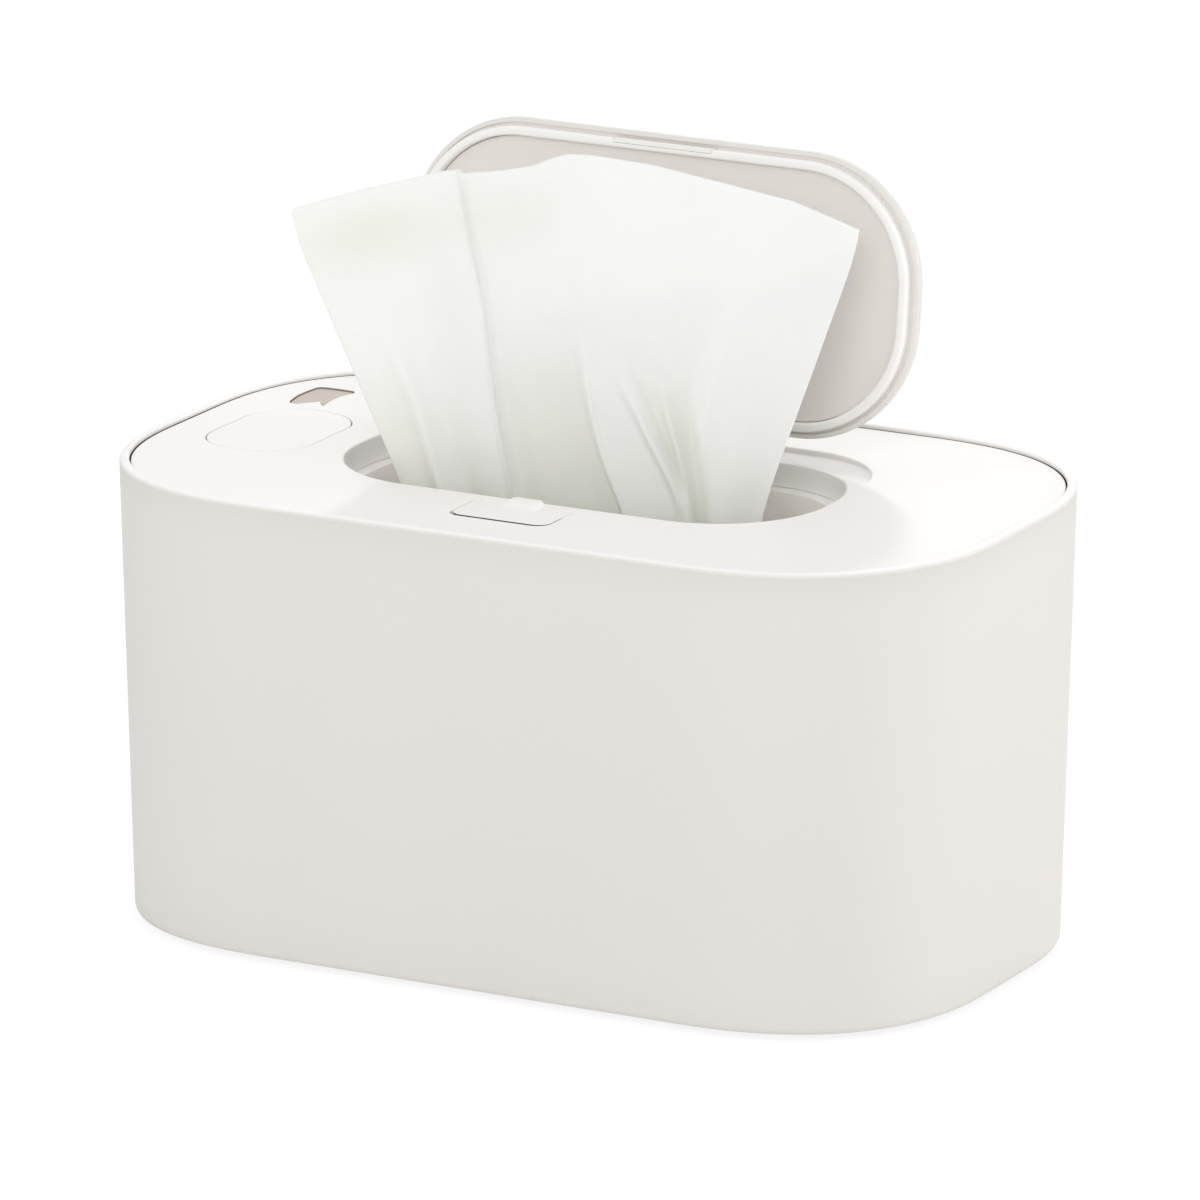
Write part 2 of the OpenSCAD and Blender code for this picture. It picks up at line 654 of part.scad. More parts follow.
// Lid: every piece is drawn shut and swung open about the hinge
module swing() {
    axis = [0, hinge_y, hinge_z];
    translate(axis) rotate([-open_angle, 0, 0]) translate(-axis) children();
}
function lid_plan(d) = [for (v = outline(lid_l / 2 - d, lid_w / 2 - d, lid_r - d)) v + [0, lid_y]];
edge_r = 3.6;
crown = [14, 0.4];
function edge_in(a) = edge_r * (1 - cos(a));
function edge_z(a) = lid_top_z - edge_r * (1 - sin(a));
cover_rings = concat(
    [level(lid_plan(0.5), cover_z), level(lid_plan(0), cover_z + 0.5)],
    [for (a = [0:18:90]) level(lid_plan(edge_in(a)), edge_z(a))],
    [level(lid_plan(crown[0]), lid_top_z + crown[1])]);
module lid_notch() box(-notch_x, notch_x, hinge_y - notch_in, hinge_y + 20, cover_z - 2, lid_top_z + 9);
module lid_cover() color("white") swing() difference() {
    union() {
        difference() {
            skin(cover_rings);
            slab(lid_plan(cover_wall), cover_z - 1, lid_top_z - 1.6);
            lid_notch();
        }
        both_x() {
            rod_x(knuckle_r, knuckle_in, knuckle_out, hinge_y, hinge_z);
            box(knuckle_in, knuckle_out, hinge_y - notch_in - 2, hinge_y,
                lid_top_z - 2.2, hinge_z + knuckle_r - 1);
        }
    }
    rod_x(pin_r + run_gap, -knuckle_out - 5, knuckle_out + 5, hinge_y, hinge_z);
}
module lid_panel() color("antiquewhite") swing() difference() {
    union() {
        slab(lid_plan(seal_in + seal_w + 0.1), panel_z, cover_z + 0.8);
        slab(lid_plan(cover_wall + 0.2), cover_z + 0.1, cover_z + 0.8);
    }
    lid_notch();
}
seal_profile = [[0, 0], [0, 0.73], [0.17, 0.93], [0.5, 1], [0.83, 0.93], [1, 0.73], [1, 0]];
seal_rings = [for (q = seal_profile) level(lid_plan(seal_in + q[0] * seal_w), cover_z - q[1] * seal_h)];
catch_x = latch_l / 2 + 0.5;
module lid_seal() color("snow") swing() difference() {
    skin(seal_rings, hoop = true);
    box(-catch_x, catch_x, lid_y - lid_w / 2, catch_y + 1.1, crest_z - 1, cover_z + 1);
}
catch_profile = [[catch_y, cover_z], [catch_y, deck_z + 1.7], [catch_y + 0.6, deck_z + 1.7],
    [catch_y + 0.6, deck_z + 0.75], [catch_y, deck_z + 0.65], [catch_y, deck_z + air],
    [catch_y + 1, deck_z + air], [catch_y + 1, cover_z]];
module lid_catch() color("ghostwhite") swing() translate([-catch_x + seat, 0, 0]) rotate([90, 0, 90]) {
    linear_extrude(2 * catch_x - 2 * seat) polygon(catch_profile);
}
module hinge_pin() color("silver") rod_x(pin_r, -post_out, post_out, hinge_y, hinge_z);

// Torsion spring round the hinge pin: one leg stands on the deck, the other reaches into the lid
spring_r = 2.1;
spring_wire = 0.35;
spring_turns = 5;
spring_x = 5.5;
function opened(v) = let (c = cos(-open_angle), s = sin(-open_angle))
    [v[0], hinge_y + v[1] * c - v[2] * s, hinge_z + v[1] * s + v[2] * c];
spring_steps = 10 * spring_turns + 5;
spring_path = concat(
    [[spring_x, hinge_y + spring_r, deck_z - trough_fall + 1.2]],
    [[spring_x, hinge_y + spring_r, hinge_z - 1.5]],
    [for (i = [0:spring_steps]) let (x = spring_x - 2 * spring_x * i / spring_steps)
        [x, hinge_y + spring_r * cos(36 * i), hinge_z + spring_r * sin(36 * i)]],
    [opened([-spring_x, -3.4, -1.2]), opened([-spring_x, -8, -0.7])]);
module lid_spring() color("silver") tube(spring_path, spring_wire, 6);

// Wipe: a sheet that rises from the stack through the opening and fans out, with folds down its height
wipe_t = 0.8;
wipe_nu = 42;
wipe_nv = 13;
lip_v = 0.3;
left_low = [-36, -16];
left_lip = [-44.8, -22];
left_top = [-66.9, -40];
right_low = [40, 2];
right_lip = [46.4, -2];
right_top = [65.3, 20];
low_z = stack_top_z + air;
lip_level = deck_z - 4;
top_line = [[0, 190.8], [0.243, 200.2], [0.282, 201.6], [0.3, 200.6], [0.37, 201.8], [0.416, 202.9],
    [0.446, 204.3], [0.486, 206.3], [0.544, 205.5], [0.614, 204], [0.72, 201.5], [0.825, 197.1],
    [0.92, 192.5], [1, 188]];
function ramp(x, a, b) = let (t = min(1, max(0, (x - a) / (b - a)))) t * t * (3 - 2 * t);
function ridge(x, c, w) = exp(-pow((x - c) / w, 2));
function mix(a, b, t) = a + (b - a) * t;
function edge_at(low, lip, top, v) = v < lip_v ? mix(low, lip, v / lip_v)
    : mix(lip, top, (v - lip_v) / (1 - lip_v));
function sheet_z(u, v) = edge_at(low_z, lip_level, lookup(u, top_line), v);
function fold(u, v) = let (w = 1 - v)
    5 * ridge(u, 0.30 + 0.04 * w, 0.06) - 3 * ridge(u, 0.17 + 0.05 * w, 0.07)
    + (2 + 6 * w) * ridge(u, 0.53 + 0.03 * w, 0.045) - (1 + 6 * w) * ridge(u, 0.44, 0.05)
    + 8 * w * ridge(u, 0.68, 0.05) - 7 * w * ridge(u, 0.61, 0.035) - 5 * w * ridge(u, 0.77, 0.05);
function sheet_at(u, v) = let (a = edge_at(left_low, left_lip, left_top, v),
    b = edge_at(right_low, right_lip, right_top, v),
    c = mix(a, b, u), n = unit([b[1] - a[1], a[0] - b[0]]), d = fold(u, v))
    [c[0] + n[0] * d, c[1] + n[1] * d, sheet_z(u, v) + 0.28 * d * v * v];
function sheet_row(v, s) = [for (i = [0:wipe_nu]) let (u = i / wipe_nu, p = sheet_at(u, v),
    q = sheet_at(min(1, u + 0.01), v) - sheet_at(max(0, u - 0.01), v), w = unit([-q[1], q[0]]))
    p + s * wipe_t / 2 * [w[0], w[1], 0]];
// Two triangles over points a, b, c, d
function pair(a, b, c, d) = [[a, b, c], [a, c, d]];
module wipe() color("mintcream") {
    n = wipe_nu + 1;
    k = n * (wipe_nv + 1);
    points = [for (s = [1, -1]) for (j = [0:wipe_nv]) each sheet_row(j / wipe_nv, s)];
    front = [for (j = [0:wipe_nv - 1]) for (i = [0:wipe_nu - 1]) let (a = j * n + i)
        each pair(a, a + 1, a + n + 1, a + n)];
    back = [for (j = [0:wipe_nv - 1]) for (i = [0:wipe_nu - 1]) let (a = k + j * n + i)
        each pair(a, a + n, a + n + 1, a + 1)];
    low = [for (i = [0:wipe_nu - 1]) each pair(i, k + i, k + i + 1, i + 1)];
    high = [for (i = [0:wipe_nu - 1]) let (a = wipe_nv * n + i) each pair(a, a + 1, k + a + 1, k + a)];
    left = [for (j = [0:wipe_nv - 1]) let (a = j * n) each pair(a, a + n, k + a + n, k + a)];
    right = [for (j = [0:wipe_nv - 1]) let (a = j * n + wipe_nu) each pair(a, k + a, k + a + n, a + n)];
    polyhedron(points = points, faces = concat(front, back, low, high, left, right));
}

outer_shell();
base_plate();
feet();
base_screws();
inner_tank();
heat_spreader();
heater_film();
insulation();
thermal_cutoff();
temperature_sensor();
power_inlet();
inlet_pin();
contact_block();
contact_pins();
wire_loom();
wipe_stack();
top_deck();
opening_collar();
collar_screws();
deck_gasket();
control_board();
tact_switch();
status_leds();
contact_pads();
board_cover();
board_screws();
light_window();
power_button();
power_spring();
latch_button();
latch_pin();
latch_spring();
lid_cover();
lid_panel();
lid_seal();
lid_catch();
hinge_pin();
lid_spring();
wipe();
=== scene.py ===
# %% [markdown]
# # A baby wipe warmer, dressed for the photograph
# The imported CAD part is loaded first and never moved. Every visible surface is then either a CAD
# node with a better material, or a smooth piece of our own that rides on a CAD body and stands for
# its node. Sizes are written in millimetres and turned to metres in one place.

import json
import math

import bpy
import numpy as np
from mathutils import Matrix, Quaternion, Vector, geometry


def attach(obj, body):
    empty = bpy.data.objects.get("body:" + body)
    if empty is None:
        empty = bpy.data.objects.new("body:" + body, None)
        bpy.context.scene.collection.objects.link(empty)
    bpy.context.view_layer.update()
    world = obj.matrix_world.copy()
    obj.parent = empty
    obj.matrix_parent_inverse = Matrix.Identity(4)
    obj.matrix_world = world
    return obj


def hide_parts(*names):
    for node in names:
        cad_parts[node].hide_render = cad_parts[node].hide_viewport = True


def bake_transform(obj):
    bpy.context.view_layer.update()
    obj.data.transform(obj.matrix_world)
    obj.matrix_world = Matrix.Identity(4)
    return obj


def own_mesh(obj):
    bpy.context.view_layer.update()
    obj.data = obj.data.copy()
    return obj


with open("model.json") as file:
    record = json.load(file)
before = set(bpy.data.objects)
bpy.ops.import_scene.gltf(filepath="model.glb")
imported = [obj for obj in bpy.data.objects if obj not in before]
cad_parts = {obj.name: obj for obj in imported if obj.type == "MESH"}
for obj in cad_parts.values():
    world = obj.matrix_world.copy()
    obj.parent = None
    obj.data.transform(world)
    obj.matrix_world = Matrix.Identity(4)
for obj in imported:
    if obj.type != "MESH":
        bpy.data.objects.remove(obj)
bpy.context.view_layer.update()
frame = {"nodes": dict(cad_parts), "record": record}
nodes = frame["nodes"]
MM = 0.001

# %% [markdown]
# ## Driving sizes
# These repeat the part's own driving dimensions, in millimetres. The levels below them are worked
# out, so the dressing follows the solid it covers.

# %% Sizes of the body, deck and lid
body_l, body_w, body_h = 240, 146.7, 119.4
corner_r, corner_p, draft = 62, 2.39, 2.76
wall, foot_out = 2.4, 1.5
rim_z = foot_out + body_h
deck_z = rim_z - 1
under_z = deck_z - 2.4
skirt_z = deck_z - 9.5
flange_z = skirt_z - 1.5
ledge_z = flange_z - 2
deck_in = wall + 0.35
open_half, open_r, open_y = (66.4, 32.7), 29.5, -1.4
lip_z = deck_z - 7
ledge_w, collar_h = 3.3, 9
lid_half, lid_r, lid_y = (73, 36.7), 32, -1.6
crest_z = deck_z + 0.3
cover_z = crest_z + 3
lid_top_z = cover_z + 5.2
open_angle = math.radians(96.1)
hinge_y, hinge_z = 34.4, deck_z + 6.8
key_centre, key_half, key_r = (-91.2, -2.1), (14.5, 21.75), 13
board_top, switch_h, guide_low = 111.6, 2.4, 111.7
latch_half, latch_back, latch_front = 13.7, -38.6, -53.2
stack_top = 83.1
print("rim at", rim_z, "deck at", deck_z, "hinge at", (hinge_y, hinge_z))

# %% [markdown]
# ## Camera
# The photograph was taken with a long lens, from the front right and a little above. The camera
# looks from the fitted place at the fitted target, so the picture can be compared by pixel.

# %% Camera at the photograph's viewing angle
VIEW_FROM = (1.24428, -2.35122, 0.82501)
VIEW_AT = (0.00110, 0.0, 0.08608)
LENS, SENSOR, ROLL = 325.7, 36.0, 0.09
camera_data = bpy.data.cameras.new("camera")
camera_data.lens, camera_data.sensor_width = LENS, SENSOR
camera_data.clip_end = 50
camera = bpy.data.objects.new("camera", camera_data)
camera.location = VIEW_FROM
aim = (Vector(VIEW_AT) - Vector(VIEW_FROM)).to_track_quat("-Z", "Y")
camera.rotation_euler = (aim @ Quaternion((0, 0, 1), math.radians(ROLL))).to_euler()
bpy.context.scene.collection.objects.link(camera)
bpy.context.scene.camera = camera
bpy.context.scene.view_settings.view_transform = "Standard"
print("camera set, lens", LENS, "mm")

# %% [markdown]
# ## Meshes from arrays
# A shape is a grid of points, worked out for all points at once. `loft` joins a stack of rings with
# faces, `weld` makes one point of those that lie in the same place, and `put` turns the arrays into
# an object whose edges stay crisp where two faces meet at more than a given angle.

# %% Mesh helpers
STEPS_PER_MM = 2000


def weld(points, faces):
    """Points that round to the same step of 1/2000 mm become one, and faces that shrink to a line go."""
    points = np.asarray(points, float)
    keys = np.round(points * STEPS_PER_MM).astype(np.int64)
    first, same = np.unique(keys, axis=0, return_index=True, return_inverse=True)[1:]
    same = same.ravel()
    kept = [list(dict.fromkeys(same[f].tolist())) for part in faces for f in np.asarray(part)]
    return points[first], [f for f in kept if len(f) > 2], first


def put(name, points, faces, body, slot, sharp=32, shade=None):
    """Make an object from points in millimetres and lists of faces, let it ride on a body, and give it
    its slot's finish. Shade is how much painted shade each point takes in a narrow gap or recess, from
    0 to 1, and below zero a painted highlight; on the wipe it is the damp tint together with painted
    shade in the hollow left of each fold. It is a function of the points, or one value for each."""
    points, faces, first = weld(points, faces)
    mesh = bpy.data.meshes.new(name)
    mesh.from_pydata((points * MM).tolist(), [], faces)
    if shade is not None:
        values = shade(points) if callable(shade) else shade[first]
        layer = mesh.attributes.new("shade", "FLOAT", "POINT")
        layer.data.foreach_set("value", np.asarray(values, np.float32))
    mesh.update()
    mesh.shade_smooth()
    mesh.set_sharp_from_angle(angle=math.radians(sharp))
    mesh.materials.append(finishes[slot])
    piece = bpy.data.objects.new(name, mesh)
    bpy.context.scene.collection.objects.link(piece)
    if body:
        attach(piece, body)
    print(name + ":", len(mesh.polygons), "faces")
    return piece


# %% Grids and stacks of rings
def grid(rows, cols, ring_rows=False, ring_cols=True):
    """Quads of a grid of points: point (j, i) joins (j, i+1), (j+1, i+1) and (j+1, i)."""
    j = np.arange(rows if ring_rows else rows - 1)[:, None]
    i = np.arange(cols if ring_cols else cols - 1)[None, :]
    a, b = j * cols + i, j * cols + (i + 1) % cols
    c, d = ((j + 1) % rows) * cols + (i + 1) % cols, ((j + 1) % rows) * cols + i
    return np.stack([a, b, c, d], -1).reshape(-1, 4)


def loft(rings, ring_rows=False, poles=False, capped=False):
    """Points and faces over a stack of equal rings, counter-clockwise seen from the last ring's side.
    Poles close both ends with a fan of triangles round the ring's mean point, caps with one face."""
    rings = np.asarray(rings, float)
    rows, cols = rings.shape[:2]
    points, faces = [rings.reshape(-1, 3)], [grid(rows, cols, ring_rows)]
    i, first_pole, last = np.arange(cols), rows * cols, (rows - 1) * cols
    if poles:
        points += [rings[0].mean(0)[None], rings[-1].mean(0)[None]]
        faces.append(np.stack([np.full(cols, first_pole), (i + 1) % cols, i], -1))
        faces.append(np.stack([np.full(cols, first_pole + 1), last + i, last + (i + 1) % cols], -1))
    if capped:
        faces += [i[None, ::-1], last + i[None]]
    return np.concatenate(points), faces


def near(points, loop, reach):
    """Which points lie, in plan, within reach of one of a loop's points."""
    gap = np.linalg.norm(points[:, None, :2] - np.asarray(loop)[None, :, :2], axis=-1)
    return gap.min(1) < reach


def level(plan, z):
    """Lift a plan outline to a height, which may be one number or one per point."""
    return np.column_stack([plan, np.broadcast_to(z, len(plan))])


def merged(parts):
    """Join (points, faces) pairs into one pair, with the faces' numbers moved on."""
    points, faces, start = [], [], 0
    for p, f in parts:
        points.append(p)
        faces += [np.asarray(g) + start for g in f]
        start += len(p)
    return np.concatenate(points), faces


# %% [markdown]
# ## Outlines
# Every plan here is a rectangle with rounded corners. The body's corners are fuller than an arc:
# they follow a superellipse, where x and y are cosine and sine raised to 2/p.

# %% Plan outlines
def plan(half, r, p=2, steps=24, along=10, centre=(0, 0)):
    """Rounded rectangle, counter-clockwise: corner arcs r*(cos^(2/p), sin^(2/p)) joined by straight
    runs of `along` points each."""
    t = np.linspace(0, math.pi / 2, steps)
    c, s = np.cos(t) ** (2 / p), np.sin(t) ** (2 / p)
    a, b = half[0] - r, half[1] - r
    top_x = np.linspace(a, -a, along + 2)[1:-1]
    left_y = np.linspace(b, -b, along + 2)[1:-1]
    top = np.column_stack([top_x, np.full(along, half[1])])
    left = np.column_stack([np.full(along, -half[0]), left_y])
    right_corner = np.column_stack([a + r * c, b + r * s])
    left_corner = np.column_stack([-a - r * c[::-1], b + r * s[::-1]])
    half_turn = np.concatenate([right_corner, top, left_corner, left])
    return np.concatenate([half_turn, -half_turn]) + np.array(centre)


def grown(half, r, d, **more):
    """A rounded rectangle grown by d on every side, or drawn in where d is below zero."""
    return plan((half[0] + d, half[1] + d), r + d, **more)


def body_plan(inset, **more):
    """The outer shell's rim outline, drawn in by inset on every side."""
    return grown((body_l / 2, body_w / 2), corner_r, -inset, p=corner_p, **more)


def lean(z):
    """How far the drafted side stands in from the rim at height z."""
    return draft * (rim_z - z) / body_h


def fillet(radius, steps=6):
    """Pairs (in, down) round a quarter turn, from the side to the top: r(1 - cos t), r(1 - sin t)."""
    t = np.radians(np.linspace(0, 90, steps))
    return np.column_stack([radius * (1 - np.cos(t)), radius * (1 - np.sin(t))])


# %% [markdown]
# ## Finishes
# Moulded plastic is never quite even: the tone drifts over a hand's width, and a fine grain catches
# the light. Both are made once, as node groups that read Object coordinates, and each material
# places them with its own values. Values that are the same all over sit on the shader itself.

# %% Node helpers
WHITE = (1, 1, 1, 1)


def new_group(name, inputs, outputs):
    """A shader node group with named inputs, floats or colours by their first value, and named
    outputs. It comes with the sockets that bring its inputs in."""
    group = bpy.data.node_groups.new(name, "ShaderNodeTree")
    for label, value in inputs.items():
        kind = "NodeSocketFloat" if isinstance(value, float) else "NodeSocketColor"
        group.interface.new_socket(label, in_out="INPUT", socket_type=kind).default_value = value
    for label in outputs:
        kind = "NodeSocketColor" if label == "Colour" else "NodeSocketFloat"
        group.interface.new_socket(label, in_out="OUTPUT", socket_type=kind)
    return group, group.nodes.new("NodeGroupInput").outputs


def feed(tree, socket, value):
    """Link another node's output to an input, or set the input to a plain value."""
    if isinstance(value, bpy.types.NodeSocket):
        tree.links.new(value, socket)
    else:
        socket.default_value = value


def add(tree, kind, *inputs, **named):
    """Add a node with its properties and inputs by name, and others of its inputs in their order."""
    node = tree.nodes.new(kind)
    for key, value in named.items():
        if hasattr(node, key):
            setattr(node, key, value)
        else:
            feed(tree, node.inputs[key.replace("_", " ")], value)
    for socket, value in zip(node.inputs, inputs):
        feed(tree, socket, value)
    return node


# %% Shorthands for the nodes that are used most
def noise(tree, place, scale, detail, roughness):
    """Cloudy noise over coordinates."""
    node = add(tree, "ShaderNodeTexNoise", Vector=place, Scale=scale, Detail=detail, Roughness=roughness)
    return node.outputs["Fac"]


def spread(tree, value, low, high, from_low=0.3, from_high=0.7):
    """The middle of a noise's range, spread out to run from low to high."""
    return add(tree, "ShaderNodeMapRange", Value=value, From_Min=from_low, From_Max=from_high,
               To_Min=low, To_Max=high).outputs[0]


def calc(tree, operation, *inputs, **named):
    """One step of arithmetic."""
    return add(tree, "ShaderNodeMath", *inputs, operation=operation, **named).outputs[0]


def mix(tree, factor, a, b, blend="MIX"):
    """Colour a with b laid over it by a factor."""
    node = add(tree, "ShaderNodeMix", data_type="RGBA", blend_type=blend, Factor=factor, A=a, B=b)
    return node.outputs["Result"]


def object_place(tree):
    """Object coordinates."""
    return add(tree, "ShaderNodeTexCoord").outputs["Object"]


def stretched(tree, place, scale):
    """Coordinates scaled along each axis, so that a pattern on them is drawn out where scale is small."""
    return add(tree, "ShaderNodeMapping", Vector=place, Scale=scale).outputs[0]


def own_shade(tree):
    """The mesh's own shade attribute."""
    return add(tree, "ShaderNodeAttribute", attribute_name="shade").outputs["Fac"]


# %% Group: moulded plastic
def moulded_group():
    """Drift of tone, a fine spark-eroded grain, faint handling marks in the gloss, painted shade where
    the mesh's own shade attribute says that a face lies in a narrow gap or recess, and a painted
    highlight where the attribute is below zero, as along the rim's rolled edge."""
    group, given = new_group(
        "moulded",
        {"Colour": WHITE, "Drift": 0.02, "Drift Scale": 14.0, "Grain Scale": 2600.0, "Gloss": 0.35,
         "Gloss Drift": 0.06, "Gap Shade Colour": (0.1, 0.08, 0.07, 1), "Highlight Colour": (0.95, 0.94, 0.93, 1)},
        ["Colour", "Roughness", "Height"])
    place, shade = object_place(group), own_shade(group)
    drift = noise(group, place, given["Drift Scale"], 3, 0.5)
    grain = noise(group, place, given["Grain Scale"], 2, 0.6)
    darker = spread(group, drift, 1.0, calc(group, "SUBTRACT", 1, given["Drift"]))
    tint = mix(group, 1, given["Colour"], darker, "MULTIPLY")
    dullest = calc(group, "ADD", given["Gloss"], given["Gloss Drift"])
    # Below zero the shade attribute lays a painted highlight, and above zero painted shade.
    painted_highlight = calc(group, "MULTIPLY", shade, -1, use_clamp=True)
    highlighted = mix(group, painted_highlight, tint, given["Highlight Colour"])
    add(group, "NodeGroupOutput", Colour=mix(group, shade, highlighted, given["Gap Shade Colour"]),
        Roughness=spread(group, drift, given["Gloss"], dullest), Height=grain)
    return group


# %% Group: cloth fibres
def fibre_group():
    """Nonwoven cloth: short fibres in two directions, a soft embossed dimple, and clouded thickness.
    The mesh's own shade attribute says where the cloth takes a greener, duller tone: where it is damp,
    and as painted shade in the hollow left of each fold."""
    group, given = new_group(
        "fibres",
        {"Colour": WHITE, "Thin Colour": WHITE, "Fibre Scale": 900.0, "Cloud Scale": 60.0,
         "Dimple Scale": 700.0, "Damp And Shade Colour": WHITE},
        ["Colour", "Height"])
    place = object_place(group)
    fibres_x, fibres_z = [noise(group, stretched(group, place, scale), given["Fibre Scale"], 4, 0.7)
                          for scale in ((0.25, 1.0, 1.0), (1.0, 1.0, 0.2))]
    cloud = noise(group, place, given["Cloud Scale"], 5, 0.55)
    dimple = add(group, "ShaderNodeTexVoronoi", feature="SMOOTH_F1", Vector=place,
                 Scale=given["Dimple Scale"])
    strands = calc(group, "MAXIMUM", fibres_x, fibres_z)
    cloth = mix(group, spread(group, cloud, 0.0, 1.0, 0.35, 0.68), given["Colour"], given["Thin Colour"])
    add(group, "NodeGroupOutput", Colour=mix(group, own_shade(group), cloth, given["Damp And Shade Colour"]),
        Height=calc(group, "MULTIPLY_ADD", dimple.outputs["Distance"], 0.6, strands))
    return group


# %% Group: drawn and rolled metal
def metal_group():
    """Fine scratches stretched along one axis, and a dulling that drifts."""
    group, given = new_group(
        "metal",
        {"Colour": WHITE, "Dull Colour": WHITE, "Scratch Scale": 1500.0, "Gloss": 0.25, "Dull": 0.4},
        ["Colour", "Roughness", "Height"])
    place = object_place(group)
    scratch = noise(group, stretched(group, place, (0.05, 1.0, 1.0)), given["Scratch Scale"], 3, 0.6)
    cloud = noise(group, place, 90.0, 4, 0.5)
    add(group, "NodeGroupOutput", Colour=mix(group, cloud, given["Colour"], given["Dull Colour"]),
        Roughness=spread(group, scratch, given["Gloss"], given["Dull"]), Height=scratch)
    return group


moulded, fibres, metal = moulded_group(), fibre_group(), metal_group()
print("node groups:", [g.name for g in (moulded, fibres, metal)])

# %% [markdown]
# A material places one group, and adds the constants of its shader. The record gives each piece the
# name of its finish, so the finishes are kept in a dictionary under those names. Colours are written
# as they show on a screen, and `rgb` turns them to the linear values that a shader needs.

# %% Materials from the groups
finishes = {}


def new_finish(name, group, bump, distance, group_values, shader_values):
    """A material with one placed group, a bump for its height, and its constants on the shader."""
    material = bpy.data.materials.new(name)
    material.use_nodes = True
    tree = material.node_tree
    shader = tree.nodes["Principled BSDF"]
    placed = add(tree, "ShaderNodeGroup", node_tree=group)
    for node, values in ((placed, group_values), (shader, shader_values)):
        for key, value in values.items():
            node.inputs[key].default_value = value
    feed(tree, shader.inputs["Base Color"], placed.outputs["Colour"])
    if "Roughness" in placed.outputs:
        feed(tree, shader.inputs["Roughness"], placed.outputs["Roughness"])
    raised = add(tree, "ShaderNodeBump", Strength=bump, Distance=distance, Height=placed.outputs["Height"])
    feed(tree, shader.inputs["Normal"], raised.outputs["Normal"])
    finishes[name] = material


def rgb(r, g, b):
    """A colour as shown, with channels from 0 to 255, turned to the linear values that a shader reads."""
    c = np.array([r, g, b]) / 255
    return (*np.where(c <= 0.04045, c / 12.92, ((c + 0.055) / 1.055) ** 2.4), 1)


def plastic(name, colour, gloss=0.35, drift=0.02, bump=0.05, gap_shade=(62, 52, 46)):
    """Moulded plastic of one colour, with the colour of the painted shade in its narrow gaps and recesses."""
    new_finish(name, moulded, bump, 0.00004,
               {"Colour": rgb(*colour), "Drift": drift, "Gloss": gloss, "Gap Shade Colour": rgb(*gap_shade)}, {})


def bare_metal(name, bump, distance, colour, dull):
    """Metal of one colour, with the duller tone that it drifts to."""
    new_finish(name, metal, bump, distance,
               {"Colour": rgb(*colour), "Dull Colour": rgb(*dull)}, {"Metallic": 1.0})


# %% The finishes
# The shell's white is set darker than the deck's: painted shade that keeps its sides dim under the front
# lamp.
plastic("white_shell", (230, 227, 222), gloss=0.40, bump=0.10)
plastic("white_deck", (250, 247, 245), gloss=0.45)
plastic("white_inner", (236, 233, 228), gloss=0.55, bump=0.2)
plastic("tank_plastic", (232, 223, 214), gloss=0.5, bump=0.2)
plastic("collar_cream", (253, 250, 248), gloss=0.45, bump=0.15, gap_shade=(251, 244, 238))
plastic("panel_grey", (234, 228, 224), gloss=0.42, bump=0.12)
plastic("seal_white", (250, 248, 246), gloss=0.5, bump=0.1)
plastic("seal_rubber", (205, 203, 200), gloss=0.6, bump=0.2)
plastic("window_beige", (198, 182, 168), gloss=0.25, drift=0.08)
plastic("black_plastic", (38, 38, 40), gloss=0.5, bump=0.3)
plastic("foot_rubber", (92, 92, 92), gloss=0.7, bump=0.5)
plastic("board_green", (36, 104, 62), gloss=0.3, drift=0.2)
plastic("led_cream", (240, 232, 200), gloss=0.2)
plastic("film_orange", (206, 132, 48), gloss=0.3, drift=0.2)
plastic("wire_red", (168, 44, 40), gloss=0.45, bump=0.2)
bare_metal("spring_steel", 0.1, 0.00002, (196, 196, 200), (168, 168, 172))
bare_metal("plate_aluminium", 0.2, 0.00003, (226, 227, 229), (204, 206, 209))
bare_metal("contact_brass", 0.1, 0.00002, (226, 190, 118), (198, 158, 84))
# The wipe's damp colour also serves as painted shade in the hollows of its folds.
new_finish("wipe_cloth", fibres, 0.35, 0.00012,
           {"Colour": rgb(252, 254, 251), "Thin Colour": rgb(249, 252, 248),
            "Damp And Shade Colour": rgb(226, 228, 216)},
           {"Roughness": 0.85, "Subsurface Weight": 0.7, "Subsurface Scale": 0.002,
            "Subsurface Radius": (1.0, 1.05, 0.9), "Specular IOR Level": 0.3})
new_finish("pad_felt", fibres, 0.6, 0.0004,
           {"Colour": rgb(226, 222, 206), "Thin Colour": rgb(206, 200, 182)}, {"Roughness": 0.95})
finishes["screw_steel"] = finishes["spring_steel"]
finishes["wipe_fabric"] = finishes["wipe_cloth"]
print(len(finishes), "finishes")

# %% [markdown]
# ## The CAD nodes that stay
# Pieces inside the body keep their CAD shape, because it is right. Each takes the finish that the
# record names for it.

# %% Give every CAD node its finish
slot_of = {s["node"]: s["material_slot"] for s in frame["record"]["subparts"]}


def finish(piece, material):
    """Put one material on a piece, in place of whatever it had."""
    if piece.material_slots:
        for s in piece.material_slots:
            s.material = material
    else:
        piece.data.materials.append(material)


for name, node in nodes.items():
    finish(node, finishes[slot_of[name]])
print("finished", len(nodes), "nodes")

# %% [markdown]
# ## Flat faces with holes
# The back wall round the inlet, the deck's face and the lid's two sides are flats between outlines.
# Blender's Delaunay triangulation fills such a flat, keeps every outline as an edge and copes with
# any number of holes. A grid of quads would need a new plan for each hole.

# %% Fill between outlines
TINY, SAME_PLACE = 1e-12, 1e-5


def inside_loop(xy, loop):
    """Even-odd test of many points against one closed outline."""
    a, b = loop, np.roll(loop, -1, axis=0)
    x, y = xy[:, :1], xy[:, 1:]
    crosses = (a[:, 1] > y) != (b[:, 1] > y)
    rise = np.where(b[:, 1] == a[:, 1], TINY, b[:, 1] - a[:, 1])
    return (crosses & (x < a[:, 0] + (y - a[:, 1]) * (b[:, 0] - a[:, 0]) / rise)).sum(1) % 2 == 1


